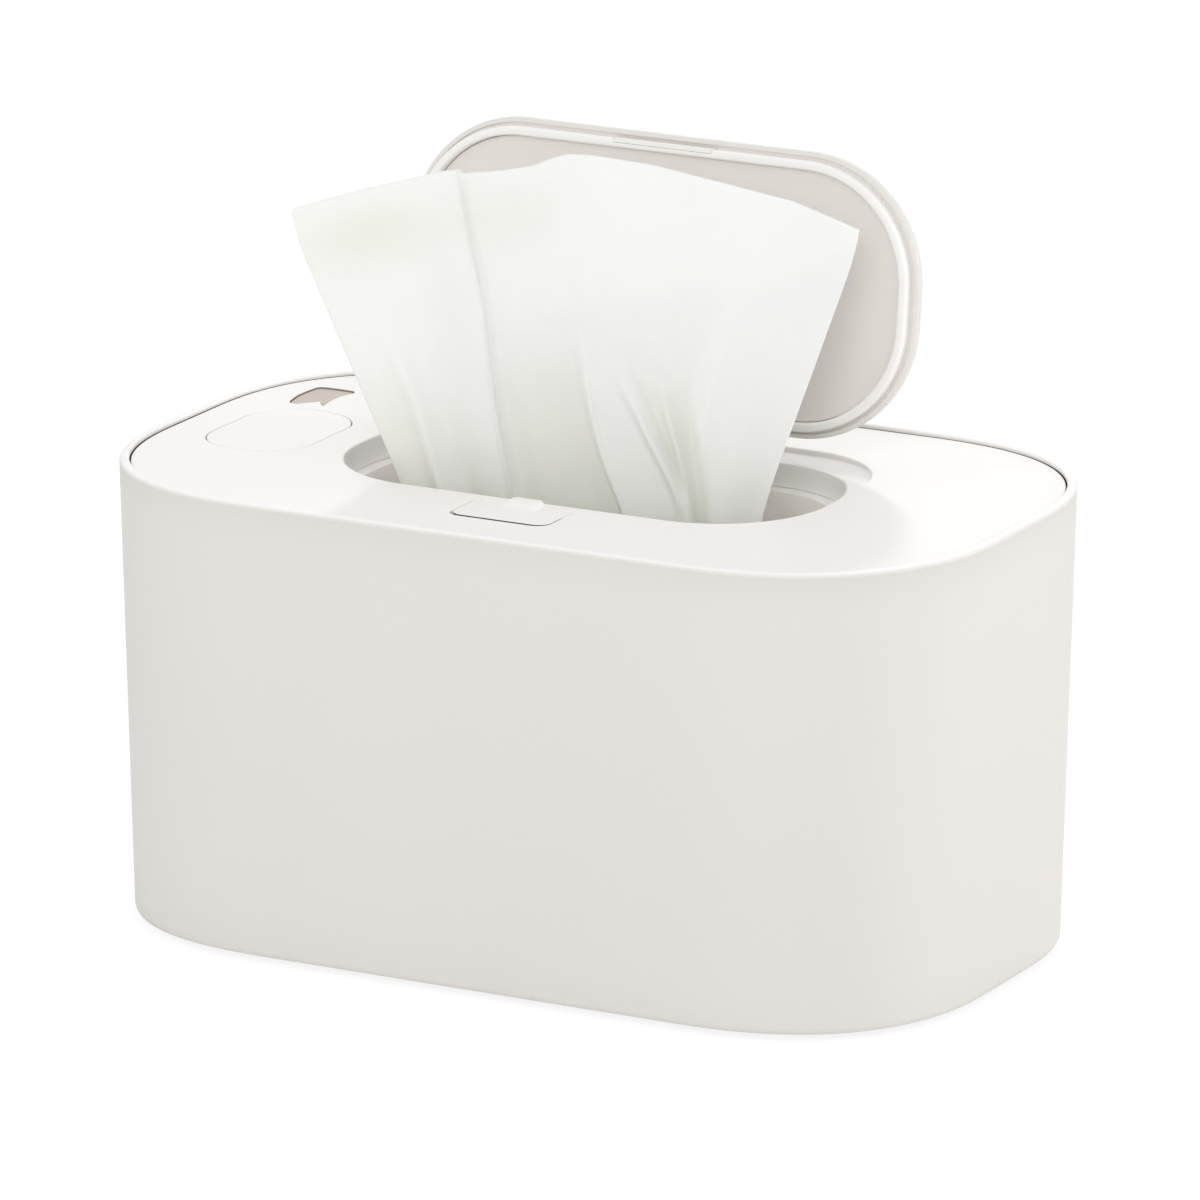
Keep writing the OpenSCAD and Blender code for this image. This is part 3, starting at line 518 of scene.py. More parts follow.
def fill(outer, holes, height, guides=(), lines=(), loose=(), up=True):
    """Triangles over the flat between an outline and its holes. Guides are closed loops and lines are
    open runs that the triangles follow; loose points only add detail. Height gives z for each point."""
    closed, opened = [outer, *holes, *guides], [*lines]
    chains = closed + opened
    xy = np.concatenate([*chains, *loose])
    start = np.cumsum([0] + [len(q) for q in chains])
    edges = []
    for k, q in enumerate(chains):
        i = np.arange(len(q) if k < len(closed) else len(q) - 1)
        edges.append(np.column_stack([start[k] + i, start[k] + (i + 1) % len(q)]))
    edges = np.concatenate(edges).tolist()
    found = geometry.delaunay_2d_cdt([Vector(p) for p in xy], edges, [], 0, SAME_PLACE)
    verts = np.array([tuple(v) for v in found[0]])
    tris = np.array(found[2])
    middle = verts[tris].mean(1)
    keep = inside_loop(middle, outer)
    for hole in holes:
        keep &= ~inside_loop(middle, hole)
    tris = tris[keep]
    a, b, c = (verts[tris[:, k]] for k in range(3))
    side = (b - a)[:, 0] * (c - a)[:, 1] - (b - a)[:, 1] * (c - a)[:, 0]
    flip = (side < 0) == up
    tris[flip] = tris[flip][:, ::-1]
    return np.column_stack([verts, height(verts)]), [tris]


def flat(z):
    """A height that is the same all over, as a function of the plan points."""
    return lambda xy: np.full(len(xy), float(z))


# %% [markdown]
# ## Outer shell
# The tub narrows towards its foot, and its rim is a soft roll. A ring profile is carried round the
# plan outline: each ring is the same outline drawn in by a different amount at a different height.

# %% Outer shell's rings
ledge_in = wall + 4.4
side_z = np.linspace(foot_out + 1.6, rim_z - 1.25, 14)
stripe_low, stripe_high = deck_z - 1.8, deck_z - 1


def shell_rings():
    """(inset, height) pairs up the outside, over the rim and down the inside."""
    foot = [(draft + wall, foot_out), (draft + 1.0, foot_out), (draft + 0.35, foot_out + 0.25),
            (draft + 0.05, foot_out + 0.9)]
    side = [(lean(z), z) for z in side_z]
    rim = [(i, rim_z - d) for i, d in fillet(1.2, 8)]
    rim += [(wall - i, rim_z - d) for i, d in fillet(0.4, 4)[::-1]]
    inside = [(wall, z) for z in (deck_z, deck_z - 0.1, stripe_high, stripe_low, ledge_z)]
    ledge = [(ledge_in, ledge_z), (ledge_in, ledge_z - 2)]
    lower = [(wall + lean(z), z) for z in (ledge_z - 7, side_z[3], side_z[1])]
    return foot + side + rim + inside + ledge + lower


def in_stripe(z):
    """0 below the stripe of painted shade under the deck's edge, rising to 1 at the stripe's top."""
    return np.clip((z - stripe_low) / (stripe_high - stripe_low), 0, 1)


def shell_shade_and_highlight(p):
    """Painted shade on the inner wall just under the deck's edge, where the dark line round the deck is,
    and a painted highlight, below zero, over the top of the rim."""
    # Painted shade in the gap round the deck.
    stripe = 0.9 * in_stripe(p[:, 2]) * (p[:, 2] < deck_z - 0.05)
    stripe *= near(p, body_plan(wall, steps=40), 0.1)
    # Painted highlight over the rim's roll.
    return stripe - np.clip((p[:, 2] - rim_z + 0.75) / 0.5, 0, 1)


# %% [markdown]
# The power inlet sits in a round hole low in the back wall. The rings know nothing of the hole, so a
# few of their faces are taken out there, on both sides of the wall, and flat triangles fill what is
# left round the circle. A boolean would cut the hole too, but its long, thin faces shade unevenly.

# %% Outer shell with the power inlet's hole
inlet_x, inlet_z, inlet_r = 40, 20, 5.5
back_x = np.linspace(body_l / 2 - corner_r, corner_r - body_l / 2, 12)
turn = np.linspace(0, 2 * math.pi, 48, endpoint=False)
inlet_circle = np.column_stack([inlet_x + inlet_r * np.cos(turn), inlet_z + inlet_r * np.sin(turn)])


def back_wall(z, inset):
    """y of the straight back wall at height z, drawn in by inset."""
    return body_w / 2 - inset - lean(z)


def pierced(points, faces, inset):
    """The loft without the faces of its back wall round the inlet, and flat triangles round the hole."""
    x, y, z = points[faces].mean(1).T
    x0, x1, z0, z1 = back_x[3], back_x[1], side_z[1], side_z[3]
    cut = (abs(y - back_wall(z, inset)) < 0.05) & (x > x0) & (x < x1) & (z > z0) & (z < z1)
    middle_z = side_z[2:3] if inset == 0 else []
    frame_xz = [(x0, z0), (back_x[2], z0), *[(x1, z) for z in (z0, *middle_z, z1)],
                (back_x[2], z1), *[(x0, z) for z in (z1, *middle_z)]]
    patch, tris = fill(np.array(frame_xz), [inlet_circle], lambda xz: back_wall(xz[:, 1], inset),
                       up=inset > 0)
    return faces[~cut], (patch[:, [0, 2, 1]], tris)


def inlet_ring(inset):
    """The edge of the inlet's hole on the outside or the inside of the back wall."""
    return np.column_stack([inlet_circle[:, 0], back_wall(inlet_circle[:, 1], inset), inlet_circle[:, 1]])


shell_stack = [level(body_plan(i, steps=40), z) for i, z in shell_rings()]
shell_points, (shell_faces,) = loft(shell_stack, ring_rows=True)
shell_faces, outer_patch = pierced(shell_points, shell_faces, 0)
shell_faces, inner_patch = pierced(shell_points, shell_faces, wall)
inlet_wall = loft([inlet_ring(wall), inlet_ring(0)])
shell = put("shell_body", *merged([(shell_points, [shell_faces]), outer_patch, inner_patch, inlet_wall]),
            "base", "white_shell", shade=shell_shade_and_highlight)
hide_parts("outer_shell")

# %% [markdown]
# ## Deck
# A moulded plate with an outline, four openings and a shallow hollow behind the opening. Every
# outline is written as a loop at a distance d inside the deck's own material, so a rolled edge is
# the same loop at growing distances, and the flat between the rolls is filled with triangles.

# %% Distances in plan
hollow_half, hollow_r, hollow_y = (66, 28), 26, hinge_y - 18
hollow_from, hollow_to, hollow_fall = hinge_y - 14, hinge_y + 10, 1.3


def rounded(half, r, centre):
    """A function of plan points: their distance from a rounded rectangle, below zero inside it."""
    def distance(xy):
        """The distance of each point, by the corner's arc where it is nearer than a side."""
        q = np.abs(xy - np.array(centre)) - (np.array(half) - r)
        return np.linalg.norm(np.maximum(q, 0), axis=1) + np.minimum(q.max(1), 0) - r
    return distance


from_opening = rounded(open_half, open_r, (0, open_y))
from_hollow = rounded(hollow_half, hollow_r, (0, hollow_y))
from_lid = rounded(lid_half, lid_r, (0, lid_y))


def deck_top(xy):
    """Height of the deck's face: level, but falling towards the back inside the hinge hollow."""
    inside = np.clip(-from_hollow(xy) / 0.5, 0, 1)
    fall = hollow_fall * np.clip((xy[:, 1] - hollow_from) / (hollow_to - hollow_from), 0, 1)
    return deck_z - fall * inside * inside * (3 - 2 * inside)


# %% The window's crescent
window_centre = np.array([-98.5, 34.0])
window_ends = [(-5.8, 5.4), (-5.4, -6.6), (-2, -10.6), (2.4, -5.8),
               (5.3, -9.5), (5.6, 5.4), (3.5, 8), (-2.5, 8.1)]
window_middles = [(-6.2, -1), (-4.3, -9.8), (-0.1, -8.6), (3.6, -7.3),
                  (4.2, -1), (5.2, 7.4), (0.5, 8.2), (-5.1, 7.5)]


def bend(a, m, b):
    """Quadratic curve from a to b that passes through m halfway, without its last point."""
    t = np.linspace(0, 1, 8, endpoint=False)[:, None]
    a, m, b = map(np.array, (a, m, b))
    return (1 - t) ** 2 * a + 2 * t * (1 - t) * (2 * m - (a + b) / 2) + t * t * b


def outward(loop, d):
    """Each point of a counter-clockwise loop moved by d along the loop's own outward normal."""
    along = np.roll(loop, -1, 0) - np.roll(loop, 1, 0)
    normal = np.column_stack([along[:, 1], -along[:, 0]])
    return loop + d * normal / np.linalg.norm(normal, axis=1)[:, None]


def crescent(d):
    """The window: a rounded back, a bite in front, and one horn beside the bite, grown by about d."""
    next_ends = window_ends[1:] + window_ends[:1]
    sides = [bend(a, m, b) for a, m, b in zip(window_ends, window_middles, next_ends)]
    return window_centre + outward(np.concatenate(sides), d)


# %% Outlines of the deck and its openings
def latch_plan(gap, front_gap):
    """The latch's outline: square at the back, rounded at its two front corners."""
    x, r = latch_half + gap, 3.5 + gap
    t = np.linspace(0, math.pi / 2, 14)
    y, rear_y = latch_front - front_gap, latch_back - 0.4 + gap
    corner = np.column_stack([x - r + r * np.sin(t), y + r - r * np.cos(t)])
    side_y = np.linspace(y + r, rear_y, 8)[1:]
    rear_x = np.linspace(x, -x, 12)[1:-1]
    right = np.concatenate([corner, np.column_stack([np.full(len(side_y), x), side_y])])
    across = np.column_stack([rear_x, np.full(len(rear_x), rear_y)])
    return np.concatenate([right, across, right[::-1] * (-1, 1)])


def deck_edge(d):
    """The deck's outline drawn in by d."""
    return body_plan(deck_in + d, steps=40)


def opening_edge(d):
    """The opening's outline grown by d."""
    return grown(open_half, open_r, d, steps=40, along=16, centre=(0, open_y))


def key_plan(d):
    """The power button's outline grown by d."""
    return grown(key_half, key_r, d, steps=16, centre=key_centre)


def key_edge(d):
    """The edge of the power button's hole, with its gap."""
    return key_plan(0.3 + d)


def latch_edge(d):
    """The edge of the latch's hole: a narrow gap round it, and a wide one for a fingertip in front."""
    return latch_plan(0.35 + d, 1.4 + d)


def window_edge(d):
    """The edge of the window's hole, with its gap."""
    return crescent(0.08 + d)


def roll_rings(edge, roll, steps=6):
    """Rings of a rolled edge, from the wall up to the deck's face."""
    return [level(edge(i), deck_top(edge(i)) - d) for i, d in fillet(roll, steps)]


def wall_rings(edge, profile):
    """Rings at each (distance, height) of a profile."""
    return [level(edge(d), z) for d, z in profile]


# %% Deck's face
edge_roll, lip_roll, key_roll, small_roll, guide = 0.35, 0.5, 0.25, 0.2, 0.35
deck_holes = [(opening_edge, lip_roll), (key_edge, key_roll), (latch_edge, small_roll),
              (window_edge, small_roll)]
hollow_x, row_points, ramp_step = 64, 65, 1.6


def hollow_line(d):
    """The part of the hollow's outline, drawn in by d, that lies behind the hollow's start."""
    outline = grown(hollow_half, hollow_r, -d, steps=30, along=30, centre=(0, hollow_y))
    return outline[outline[:, 1] > hollow_from - (2 if d < 0 else 0)]


def row(y):
    """A row of points across the deck, where the hollow starts to fall."""
    return np.column_stack([np.linspace(-hollow_x, hollow_x, row_points), np.full(row_points, y)])


start_rows = np.concatenate([row(hollow_from - 1), row(hollow_from + 1)])
start_rows = start_rows[from_opening(start_rows) > 2]
ramp_x = np.arange(-hollow_x, hollow_x + 1, ramp_step)
ramp_y = np.arange(hollow_from + 3, hollow_to, ramp_step)
ramp = np.stack(np.meshgrid(ramp_x, ramp_y), -1).reshape(-1, 2)
ramp = ramp[(from_opening(ramp) > 1.4) & (from_hollow(ramp) < -1.1)]
face = fill(deck_edge(edge_roll), [e(r) for e, r in deck_holes], deck_top,
            guides=[deck_edge(edge_roll + guide)] + [e(r + guide) for e, r in deck_holes],
            lines=[hollow_line(d) for d in (-1.5, -0.3, 0, 0.12, 0.25, 0.38, 0.5)],
            loose=[start_rows, ramp])
print("deck face:", len(face[1][0]), "triangles")

# %% Deck's underside, skirt and hole walls
skirt_t, opening_wall = 1.8, 1.8
under_edges = [opening_edge(opening_wall), key_edge(0), latch_edge(0), window_edge(0)]
underside = fill(deck_edge(skirt_t), under_edges, flat(under_z), up=False)
skirt_profile = [(skirt_t, under_z), (skirt_t, skirt_z), (0, skirt_z), (0, stripe_low), (0, stripe_high)]
outside = loft(wall_rings(deck_edge, skirt_profile) + roll_rings(deck_edge, edge_roll))
lip_profile = [(0, lip_z + 0.2), (0.2, lip_z), (opening_wall, lip_z), (opening_wall, under_z)]
opening = loft(roll_rings(opening_edge, lip_roll, steps=9)[::-1] + wall_rings(opening_edge, lip_profile))
hole_profile = [(0, deck_z - 0.6), (0, deck_z - 0.9), (0, under_z)]
small_holes = [loft(roll_rings(e, r)[::-1] + wall_rings(e, hole_profile)) for e, r in deck_holes[1:]]

# %% [markdown]
# The deck also carries what is hidden under it or behind the lid: two hinge posts, a ring that
# guides the power button, the latch's bracket, and four bosses for the collar's screws.

# %% Shapes of posts, brackets and tubes
def extrude_x(profile, x0, x1, bevel=0.3):
    """A (y, z) profile carried along x, with its two ends softened by a bevel."""
    ends = [(0, bevel), (bevel * 0.3, bevel * 0.3), (bevel, 0)]
    sections = [(x0 + in_x, d) for in_x, d in ends] + [(x1 - in_x, d) for in_x, d in ends[::-1]]
    rings = [np.column_stack([np.full(len(profile), x), outward(profile, -d)]) for x, d in sections]
    return loft(rings, capped=True)


def block(x0, x1, y0, y1, z0, z1):
    """A box with slightly softened ends along x."""
    return extrude_x(np.array([(y0, z0), (y1, z0), (y1, z1), (y0, z1)], float), x0, x1, 0.15)


def twins(x0, x1, shape, *size):
    """The same shape from x0 to x1 on the right, and mirrored on the left."""
    return [shape(-x1, -x0, *size), shape(x0, x1, *size)]


def arc(centre, r, a, b, steps):
    """Points of an arc in degrees, counter-clockwise if b is more than a."""
    t = np.radians(np.linspace(a, b, steps))
    return np.column_stack([centre[0] + r * np.cos(t), centre[1] + r * np.sin(t)])


def tube(centre, r0, r1, z0, z1):
    """A standing tube of inner radius r0, or a solid peg if r0 is 0."""
    t = np.linspace(0, 2 * math.pi, 32, endpoint=False)
    circle = np.column_stack([np.cos(t), np.sin(t)])
    profile = [(r0, z0), (r1, z0), (r1, z1 - 0.2), (r1 - 0.2, z1), (r0, z1)]
    return loft([level(np.array(centre) + r * circle, z) for r, z in profile], ring_rows=r0 > 0)


def collar_tubes(r0, r1, z0, z1):
    """A tube round each of the collar's four screws."""
    return [tube((sx * 32, open_y + sy * (open_half[1] + 4.2)), r0, r1, z0, z1)
            for sx in (-1, 1) for sy in (-1, 1)]


# %% Deck's posts, bracket, guide and bosses
post_x, post_half, post_r = 20.7, 2.5, 3.2
post_profile = np.concatenate([
    [(hinge_y - 0.7, under_z), (hinge_y + post_r, under_z)],
    arc((hinge_y, hinge_z), post_r, 0, 257, 28), [(hinge_y - 0.7, hinge_z - 3.4)]])
posts = [extrude_x(post_profile, s * post_x - post_half, s * post_x + post_half) for s in (-1, 1)]
key_guide = loft(wall_rings(key_plan, [(2, under_z), (2, guide_low), (3.6, guide_low), (3.6, under_z)]))
bracket_x, bracket_low = latch_half + 1.5, deck_z - 12.2
bracket = twins(bracket_x, bracket_x + 2, block, latch_front, latch_back - 0.2, bracket_low, under_z)
bracket.append(block(-bracket_x - 1, bracket_x + 1, latch_front, latch_front + 8,
                     bracket_low, bracket_low + 1.2))
bosses = collar_tubes(0.9, 3, lip_z, under_z)
print("posts, guide, bracket and bosses:", len(posts) + 1 + len(bracket) + len(bosses), "shapes")


# %% Deck plate
def in_finger_gap(p):
    """The gap in front of the latch and round its right corner, where a fingertip goes in."""
    return (p[:, 1] < latch_front + 1.2) | ((p[:, 0] > 0) & (p[:, 1] < latch_front + 9))


def deck_painted_shade(p):
    """Painted shade: 1 on the walls of the small holes and under the outer edge, and a little of it on
    the opening's wall and in the hollow behind it, where shade makes both look beige."""
    xy, z = p[:, :2], p[:, 2]
    below_face, above_underside = z < deck_z - 0.12, z > under_z - 0.1
    deep = below_face & above_underside
    stripe = below_face * in_stripe(z) * near(p, deck_edge(0), 0.05)
    stripe = np.maximum(stripe, 0.7 * (deep & near(p, window_edge(0), 0.05)))
    small = (z < deck_z - 0.8) & above_underside & near(p, key_edge(0), 0.05)
    small |= deep & near(p, latch_edge(0), 0.05) & in_finger_gap(p)
    # The hollow behind the opening and the opening's wall take a little painted shade.
    hollow = (z > under_z + 0.1) & (from_opening(xy) > lip_roll) & (from_hollow(xy) < 0)
    sunk = np.clip((deck_z - z) / 0.5, 0, 1) * hollow
    wall_part = near(p, opening_edge(0), 0.25) & (z < deck_z - 0.4)
    return np.maximum(np.where(small, 1.0, stripe), np.maximum(0.05 * wall_part, 0.22 * sunk))


deck_parts = [face, underside, outside, opening, *small_holes, *posts, key_guide, *bracket, *bosses]
deck = put("deck_plate", *merged(deck_parts), "deck", "white_deck", shade=deck_painted_shade)
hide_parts("top_deck")

# %% [markdown]
# ## Collar
# Inside the opening a second moulding makes a step and a narrower wall, and hides the gap to the
# tank. Its step catches the light, so it reads as a bright band in the photograph.

# %% Opening collar
collar_t = 1.8
collar_profile = [
    (collar_t, lip_z - 0.05), (-ledge_w + 0.5, lip_z - 0.1), (-ledge_w + 0.15, lip_z - 0.25),
    (-ledge_w, lip_z - 0.6), (-ledge_w, lip_z - collar_h), (-ledge_w + collar_t, lip_z - collar_h),
    (-ledge_w + collar_t, lip_z - collar_t), (collar_t, lip_z - collar_t)]
collar_parts = [loft(wall_rings(opening_edge, collar_profile), ring_rows=True),
                *collar_tubes(1.1, 3.2, lip_z - collar_t, lip_z - 0.05)]
# The collar's walls below its step take a little painted shade.
collar = put("opening_step", *merged(collar_parts), "deck", "collar_cream",
             shade=lambda p: p[:, 2] < lip_z - 0.4)
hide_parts("opening_collar")

# %% [markdown]
# ## Power button
# A broad cap that sits flush in the deck. A skirt under the deck keeps it from lifting out, and a
# stem reaches the switch. It could be a line cut into the deck's face, but then it couldn't move, so
# it is a stack of rings of its own, with a rolled edge and a face that rises a little.

# %% Power button
cap_roll, dome_up, dome_reach = 0.35, 0.12, 12


def cap_rings(top, bottom):
    """The button's wall, its rolled edge, and a face that rises a little to its middle."""
    rings = wall_rings(key_plan, [(0, bottom), (0, top - 1.2), (0, top - 0.9)])
    rings += [level(key_plan(-i), top - dome_up - d) for i, d in fillet(cap_roll, 6)]
    for d in (cap_roll + 0.4, 2, 4, 6, 8, 10, 12):
        rings.append(level(key_plan(-d), top - dome_up * (1 - min(d / dome_reach, 1)) ** 2))
    return rings


skirt_low, skirt_high, skirt_out = under_z - 1.4, under_z - 0.1, 1.5
skirt_rings = wall_rings(key_plan, [(0, skirt_low), (skirt_out, skirt_low),
                                    (skirt_out, skirt_high), (0, skirt_high)])
cap = loft(cap_rings(deck_z + 0.1, under_z - 0.6), poles=True)
stem = tube(key_centre, 0, 2, board_top + switch_h + 0.9, under_z - 0.6)
# The button's wall deep in its gap takes painted shade.
button = put("power_cap", *merged([cap, loft(skirt_rings, poles=True), stem]), "power_key", "white_deck",
             shade=lambda p: p[:, 2] < deck_z - 0.9)
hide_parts("power_button")

# %% [markdown]
# ## Latch button
# A pad that rocks on a pin, with a low nose at its back that reaches into the lid's catch. The pad is
# the latch's outline, lofted up to the deck's level. The nose is one outline carried along x and made
# lower towards its ends, so it reads as a soft swell of the pad and not as a block set on it.

# %% Latch button
catch_y, nose_half, nose_up = lid_y - lid_half[1] + 2, 5, 1.25
rear, tip_y = latch_back - 0.4, catch_y - 0.6
nose_outline = np.array([
    (rear - 4.4, -1.5), (rear, -1.5), (rear, 0.2), (tip_y, 0.2), (tip_y, 0.85), (catch_y + 0.15, 0.93),
    (catch_y + 0.3, 1.05), (catch_y + 0.3, nose_up - 0.12), (catch_y + 0.18, nose_up), (rear + 0.2, nose_up),
    (rear - 0.5, nose_up - 0.06), (rear - 1.2, nose_up - 0.22), (rear - 2.2, 0.55), (rear - 3.2, 0.2),
    (rear - 4.4, -0.02)])


def pad_plan(d):
    """The latch pad's outline grown by d."""
    return latch_plan(d, d + 0.1)


def nose_section(x):
    """The nose's outline at x, its heights counted from the deck's face. Towards its two ends it gets
    lower, so that they melt into the pad, and its tip draws back out of the catch's groove."""
    y, height = nose_outline.T
    from_end = np.clip((nose_half - abs(x)) / 1.6, 0, 1)
    share = 0.08 + 0.92 * math.sqrt(1 - (1 - from_end) ** 2)
    tip = np.maximum(y - tip_y, 0)
    z = deck_z + np.where(height > 0, height * share, height)
    return np.column_stack([np.full(len(y), x), y - tip * (1 - share ** 8), z])


pad_profile = [(0, under_z), *[(-i, deck_z - d) for i, d in fillet(0.2, 4)], (-0.7, deck_z), (-3, deck_z)]
pad = loft(wall_rings(pad_plan, pad_profile), capped=True)
nose_x = nose_half * np.sin(np.linspace(-math.pi / 2, math.pi / 2, 23))
nose = loft([nose_section(x) for x in nose_x], capped=True)
lugs = twins(9, 12, block, rear - 5, rear, deck_z - 11.2, under_z + 0.1)
# The pad's wall in the finger gap takes painted shade.
latch = put("latch_pad", *merged([pad, nose, *lugs]), "latch", "white_deck",
            shade=lambda p: in_finger_gap(p) & (p[:, 2] < deck_z - 0.15))
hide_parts("latch_button")

# %% [markdown]
# ## Light window
# A small crescent of tinted plastic over the status lights. Its outline has a bite and a horn, which
# a cut of two circles wouldn't give, so it is made of short curves through chosen points. It lies a
# little under the deck's face, as a lens that is pressed in from below.

# %% Light window
lens_top = deck_z - 0.4
lens_profile = [(0, under_z), (0, lens_top - 0.12), (-0.12, lens_top), (-0.25, lens_top), (-0.4, lens_top)]
lens_parts = [loft(wall_rings(crescent, lens_profile)), fill(crescent(-0.4), [], flat(lens_top)),
              fill(crescent(0), [], flat(under_z), up=False)]
# The lens takes painted shade round its edge, where it sits below the deck.
lens = put("crescent_lens", *merged(lens_parts), "deck", "window_beige",
           shade=lambda p: near(p, crescent(0), 0.3))
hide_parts("light_window")

# %% [markdown]
# ## Lid
# The lid is drawn shut, with every ring level, and swung open about the hinge axis as arrays. Its
# plan has a notch at the back for the two hinge posts. From the inside one sees the cover's rim, a
# narrow groove, the white seal ring and the grey panel that lies deeper than the ring.

# %% Lid outlines
notch_x, notch_y = post_x + post_half + 0.8, hinge_y - 3.6


def lid_plan(d, along=24):
    """The lid's outline drawn in by d."""
    return grown(lid_half, lid_r, -d, steps=32, along=along, centre=(0, lid_y))


def notched_plan(d):
    """The same outline with a notch at the back between the hinge posts' outer sides."""
    t = np.linspace(0, math.pi / 2, 32)
    r, a, b = lid_r - d, lid_half[0] - lid_r, lid_half[1] - lid_r
    right = np.column_stack([a + r * np.cos(t), lid_y + b + r * np.sin(t)])
    back_y, in_x, in_y = lid_y + lid_half[1] - d, notch_x + d, notch_y - d
    run = np.column_stack([np.linspace(a, in_x, 10)[1:], np.full(9, back_y)])
    down = np.column_stack([np.full(5, in_x), np.linspace(back_y, in_y, 6)[1:]])
    over = np.column_stack([np.linspace(in_x, -in_x, 22)[1:-1], np.full(20, in_y)])
    back_half = np.concatenate([right, run, down])
    front = lid_plan(d)
    front = front[len(front) // 2:]
    return np.concatenate([back_half, over, back_half[::-1] * (-1, 1), front])


def swing(points):
    """Turn points from the shut lid to the open one, about +X through the hinge."""
    c, s = math.cos(open_angle), math.sin(open_angle)
    y, z = points[:, 1] - hinge_y, points[:, 2] - hinge_z
    return np.column_stack([points[:, 0], hinge_y + c * y + s * z, hinge_z - s * y + c * z])


def lid_piece(name, parts, slot):
    """A piece of the lid, from parts drawn shut."""
    points, faces = merged(parts)
    return put(name, swing(points), faces, "lid", slot)


# %% Lid cover
cover_wall, lid_roll, crown_up = 1.3, 3.6, 0.4
inner_top = lid_top_z - 1.6
cover_profile = [(cover_wall, inner_top), (cover_wall, cover_z + 0.2), (1.1, cover_z), (0.6, cover_z),
                 (0.3, cover_z + 0.08), (0.08, cover_z + 0.3), (0, cover_z + 0.6)]
cover_profile += [(i, lid_top_z - d) for i, d in fillet(lid_roll, 12)]


def crown(xy):
    """The lid's outer face: level at its edge and a little higher over its middle."""
    d = np.clip((-from_lid(xy) - lid_roll) / 16.4, 0, 1)
    return lid_top_z + crown_up * (1 - (1 - d) ** 2)


crown_x, crown_y = np.meshgrid(np.linspace(-66, 66, 34), np.linspace(-34, 30, 17))
crown_points = np.column_stack([crown_x.ravel(), crown_y.ravel()])
crown_points = crown_points[(from_lid(crown_points) < -6) & (crown_points[:, 1] < notch_y - 6)]
knuckle = np.concatenate([[(hinge_y - 5.6, lid_top_z - 2.2)], arc((hinge_y, hinge_z), 3, -56, 139, 20),
                          [(hinge_y - 5.6, hinge_z + 1.97)]])
cover = lid_piece("lid_shell", [
    loft(wall_rings(notched_plan, cover_profile)),
    *twins(8, 17.8, lambda x0, x1: extrude_x(knuckle, x0, x1)),
    fill(notched_plan(lid_roll), [], crown, loose=[crown_points]),
    fill(notched_plan(cover_wall), [], flat(inner_top), up=False)], "white_shell")
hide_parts("lid_cover")

# %% [markdown]
# ## Lid panel
# A grey moulding that fills the cover from inside. Its middle stands out from a flange, and the seal
# ring lies on that flange. Both follow the cover's own outline, drawn in, so that the gaps are even all
# round, which a scaled copy wouldn't give.

# %% Lid panel
groove_z, panel_z = cover_z + 0.6, cover_z - 0.9
seal_in, seal_w = 2.1, 2.3
panel_in, panel_out, panel_back = seal_in + seal_w + 0.1, cover_wall + 0.05, groove_z + 1.2
panel_profile = [
    (panel_in + 1, panel_z), (panel_in + 0.35, panel_z), (panel_in + 0.1, panel_z + 0.1),
    (panel_in, panel_z + 0.35), (panel_in, groove_z), (panel_out, groove_z), (panel_out, panel_back)]
panel = lid_piece("lid_inner_panel", [
    loft(wall_rings(notched_plan, panel_profile)),
    fill(notched_plan(panel_in + 1), [], flat(panel_z), up=False),
    fill(notched_plan(panel_out), [], flat(panel_back))], "panel_grey")
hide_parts("lid_panel")

# %% [markdown]
# ## Seal ring
# A soft ring that presses on the deck round the opening. A curve with a bevel would give it a round
# section. The real one is flatter on top, so its section is a superellipse carried round the lid's
# outline.

# %% Seal ring
seal_out, seal_mid, seal_r = seal_in + seal_w, seal_in + seal_w / 2, seal_w / 2
crest = np.radians(np.linspace(0, 180, 13))
crest_in = seal_mid + seal_r * np.sign(np.cos(crest)) * np.abs(np.cos(crest)) ** 0.6
crest_up = crest_z + seal_r * (1 - np.abs(np.sin(crest)) ** 0.6)
seal_profile = [(seal_out, groove_z), *zip(crest_in, crest_up), (seal_in, groove_z)]


def seal_ring(d, z):
    """One ring of the seal, kept clear of the lid's catch at the front."""
    ring = lid_plan(d, along=120)
    at_catch = (np.abs(ring[:, 0]) < latch_half + 0.5) & (ring[:, 1] < lid_y)
    ring[at_catch, 1] = np.maximum(ring[at_catch, 1], catch_y + 1.1)
    return level(ring, z)


seal = lid_piece("lid_ring", [loft([seal_ring(d, z) for d, z in seal_profile], ring_rows=True)], "seal_white")
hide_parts("lid_seal")

# %% [markdown]
# ## Springs
# Springs are round wire wound on a helix. A tube is carried along the path, with its ring set
# square to the path by two crosswise directions. The lid's spring stands on the deck and pushes the
# lid.

# %% Wire and coils
def wire(path, r, sides=10):
    """Round wire along a path: rings of points square to the path's direction."""
    ahead = np.gradient(path, axis=0)
    ahead /= np.linalg.norm(ahead, axis=1)[:, None]
    up = np.where(np.abs(ahead[:, 2:]) > 0.9, [[1, 0.2, 0]], [[0, 0.2, 1]])
    a = np.cross(ahead, up)
    a /= np.linalg.norm(a, axis=1)[:, None]
    b = np.cross(ahead, a)
    t = np.linspace(0, 2 * math.pi, sides, endpoint=False)[None, :, None]
    return loft(path[:, None] + r * (np.cos(t) * a[:, None] + np.sin(t) * b[:, None]), poles=True)


def coil(x, y, z0, z1, r, turns, thick):
    """A compression spring's centre line: nearly flat end turns and a steady rise between them."""
    f = np.linspace(0, 1, turns * 28 + 1)
    end, end_rise = 0.15, 0.045
    rise = np.interp(f, (0, end, 1 - end, 1), (0, end_rise, 1 - end_rise, 1))
    a = 2 * math.pi * turns * f
    return np.column_stack([x + r * np.cos(a), y + r * np.sin(a), z0 + thick + rise * (z1 - z0 - 2 * thick)])


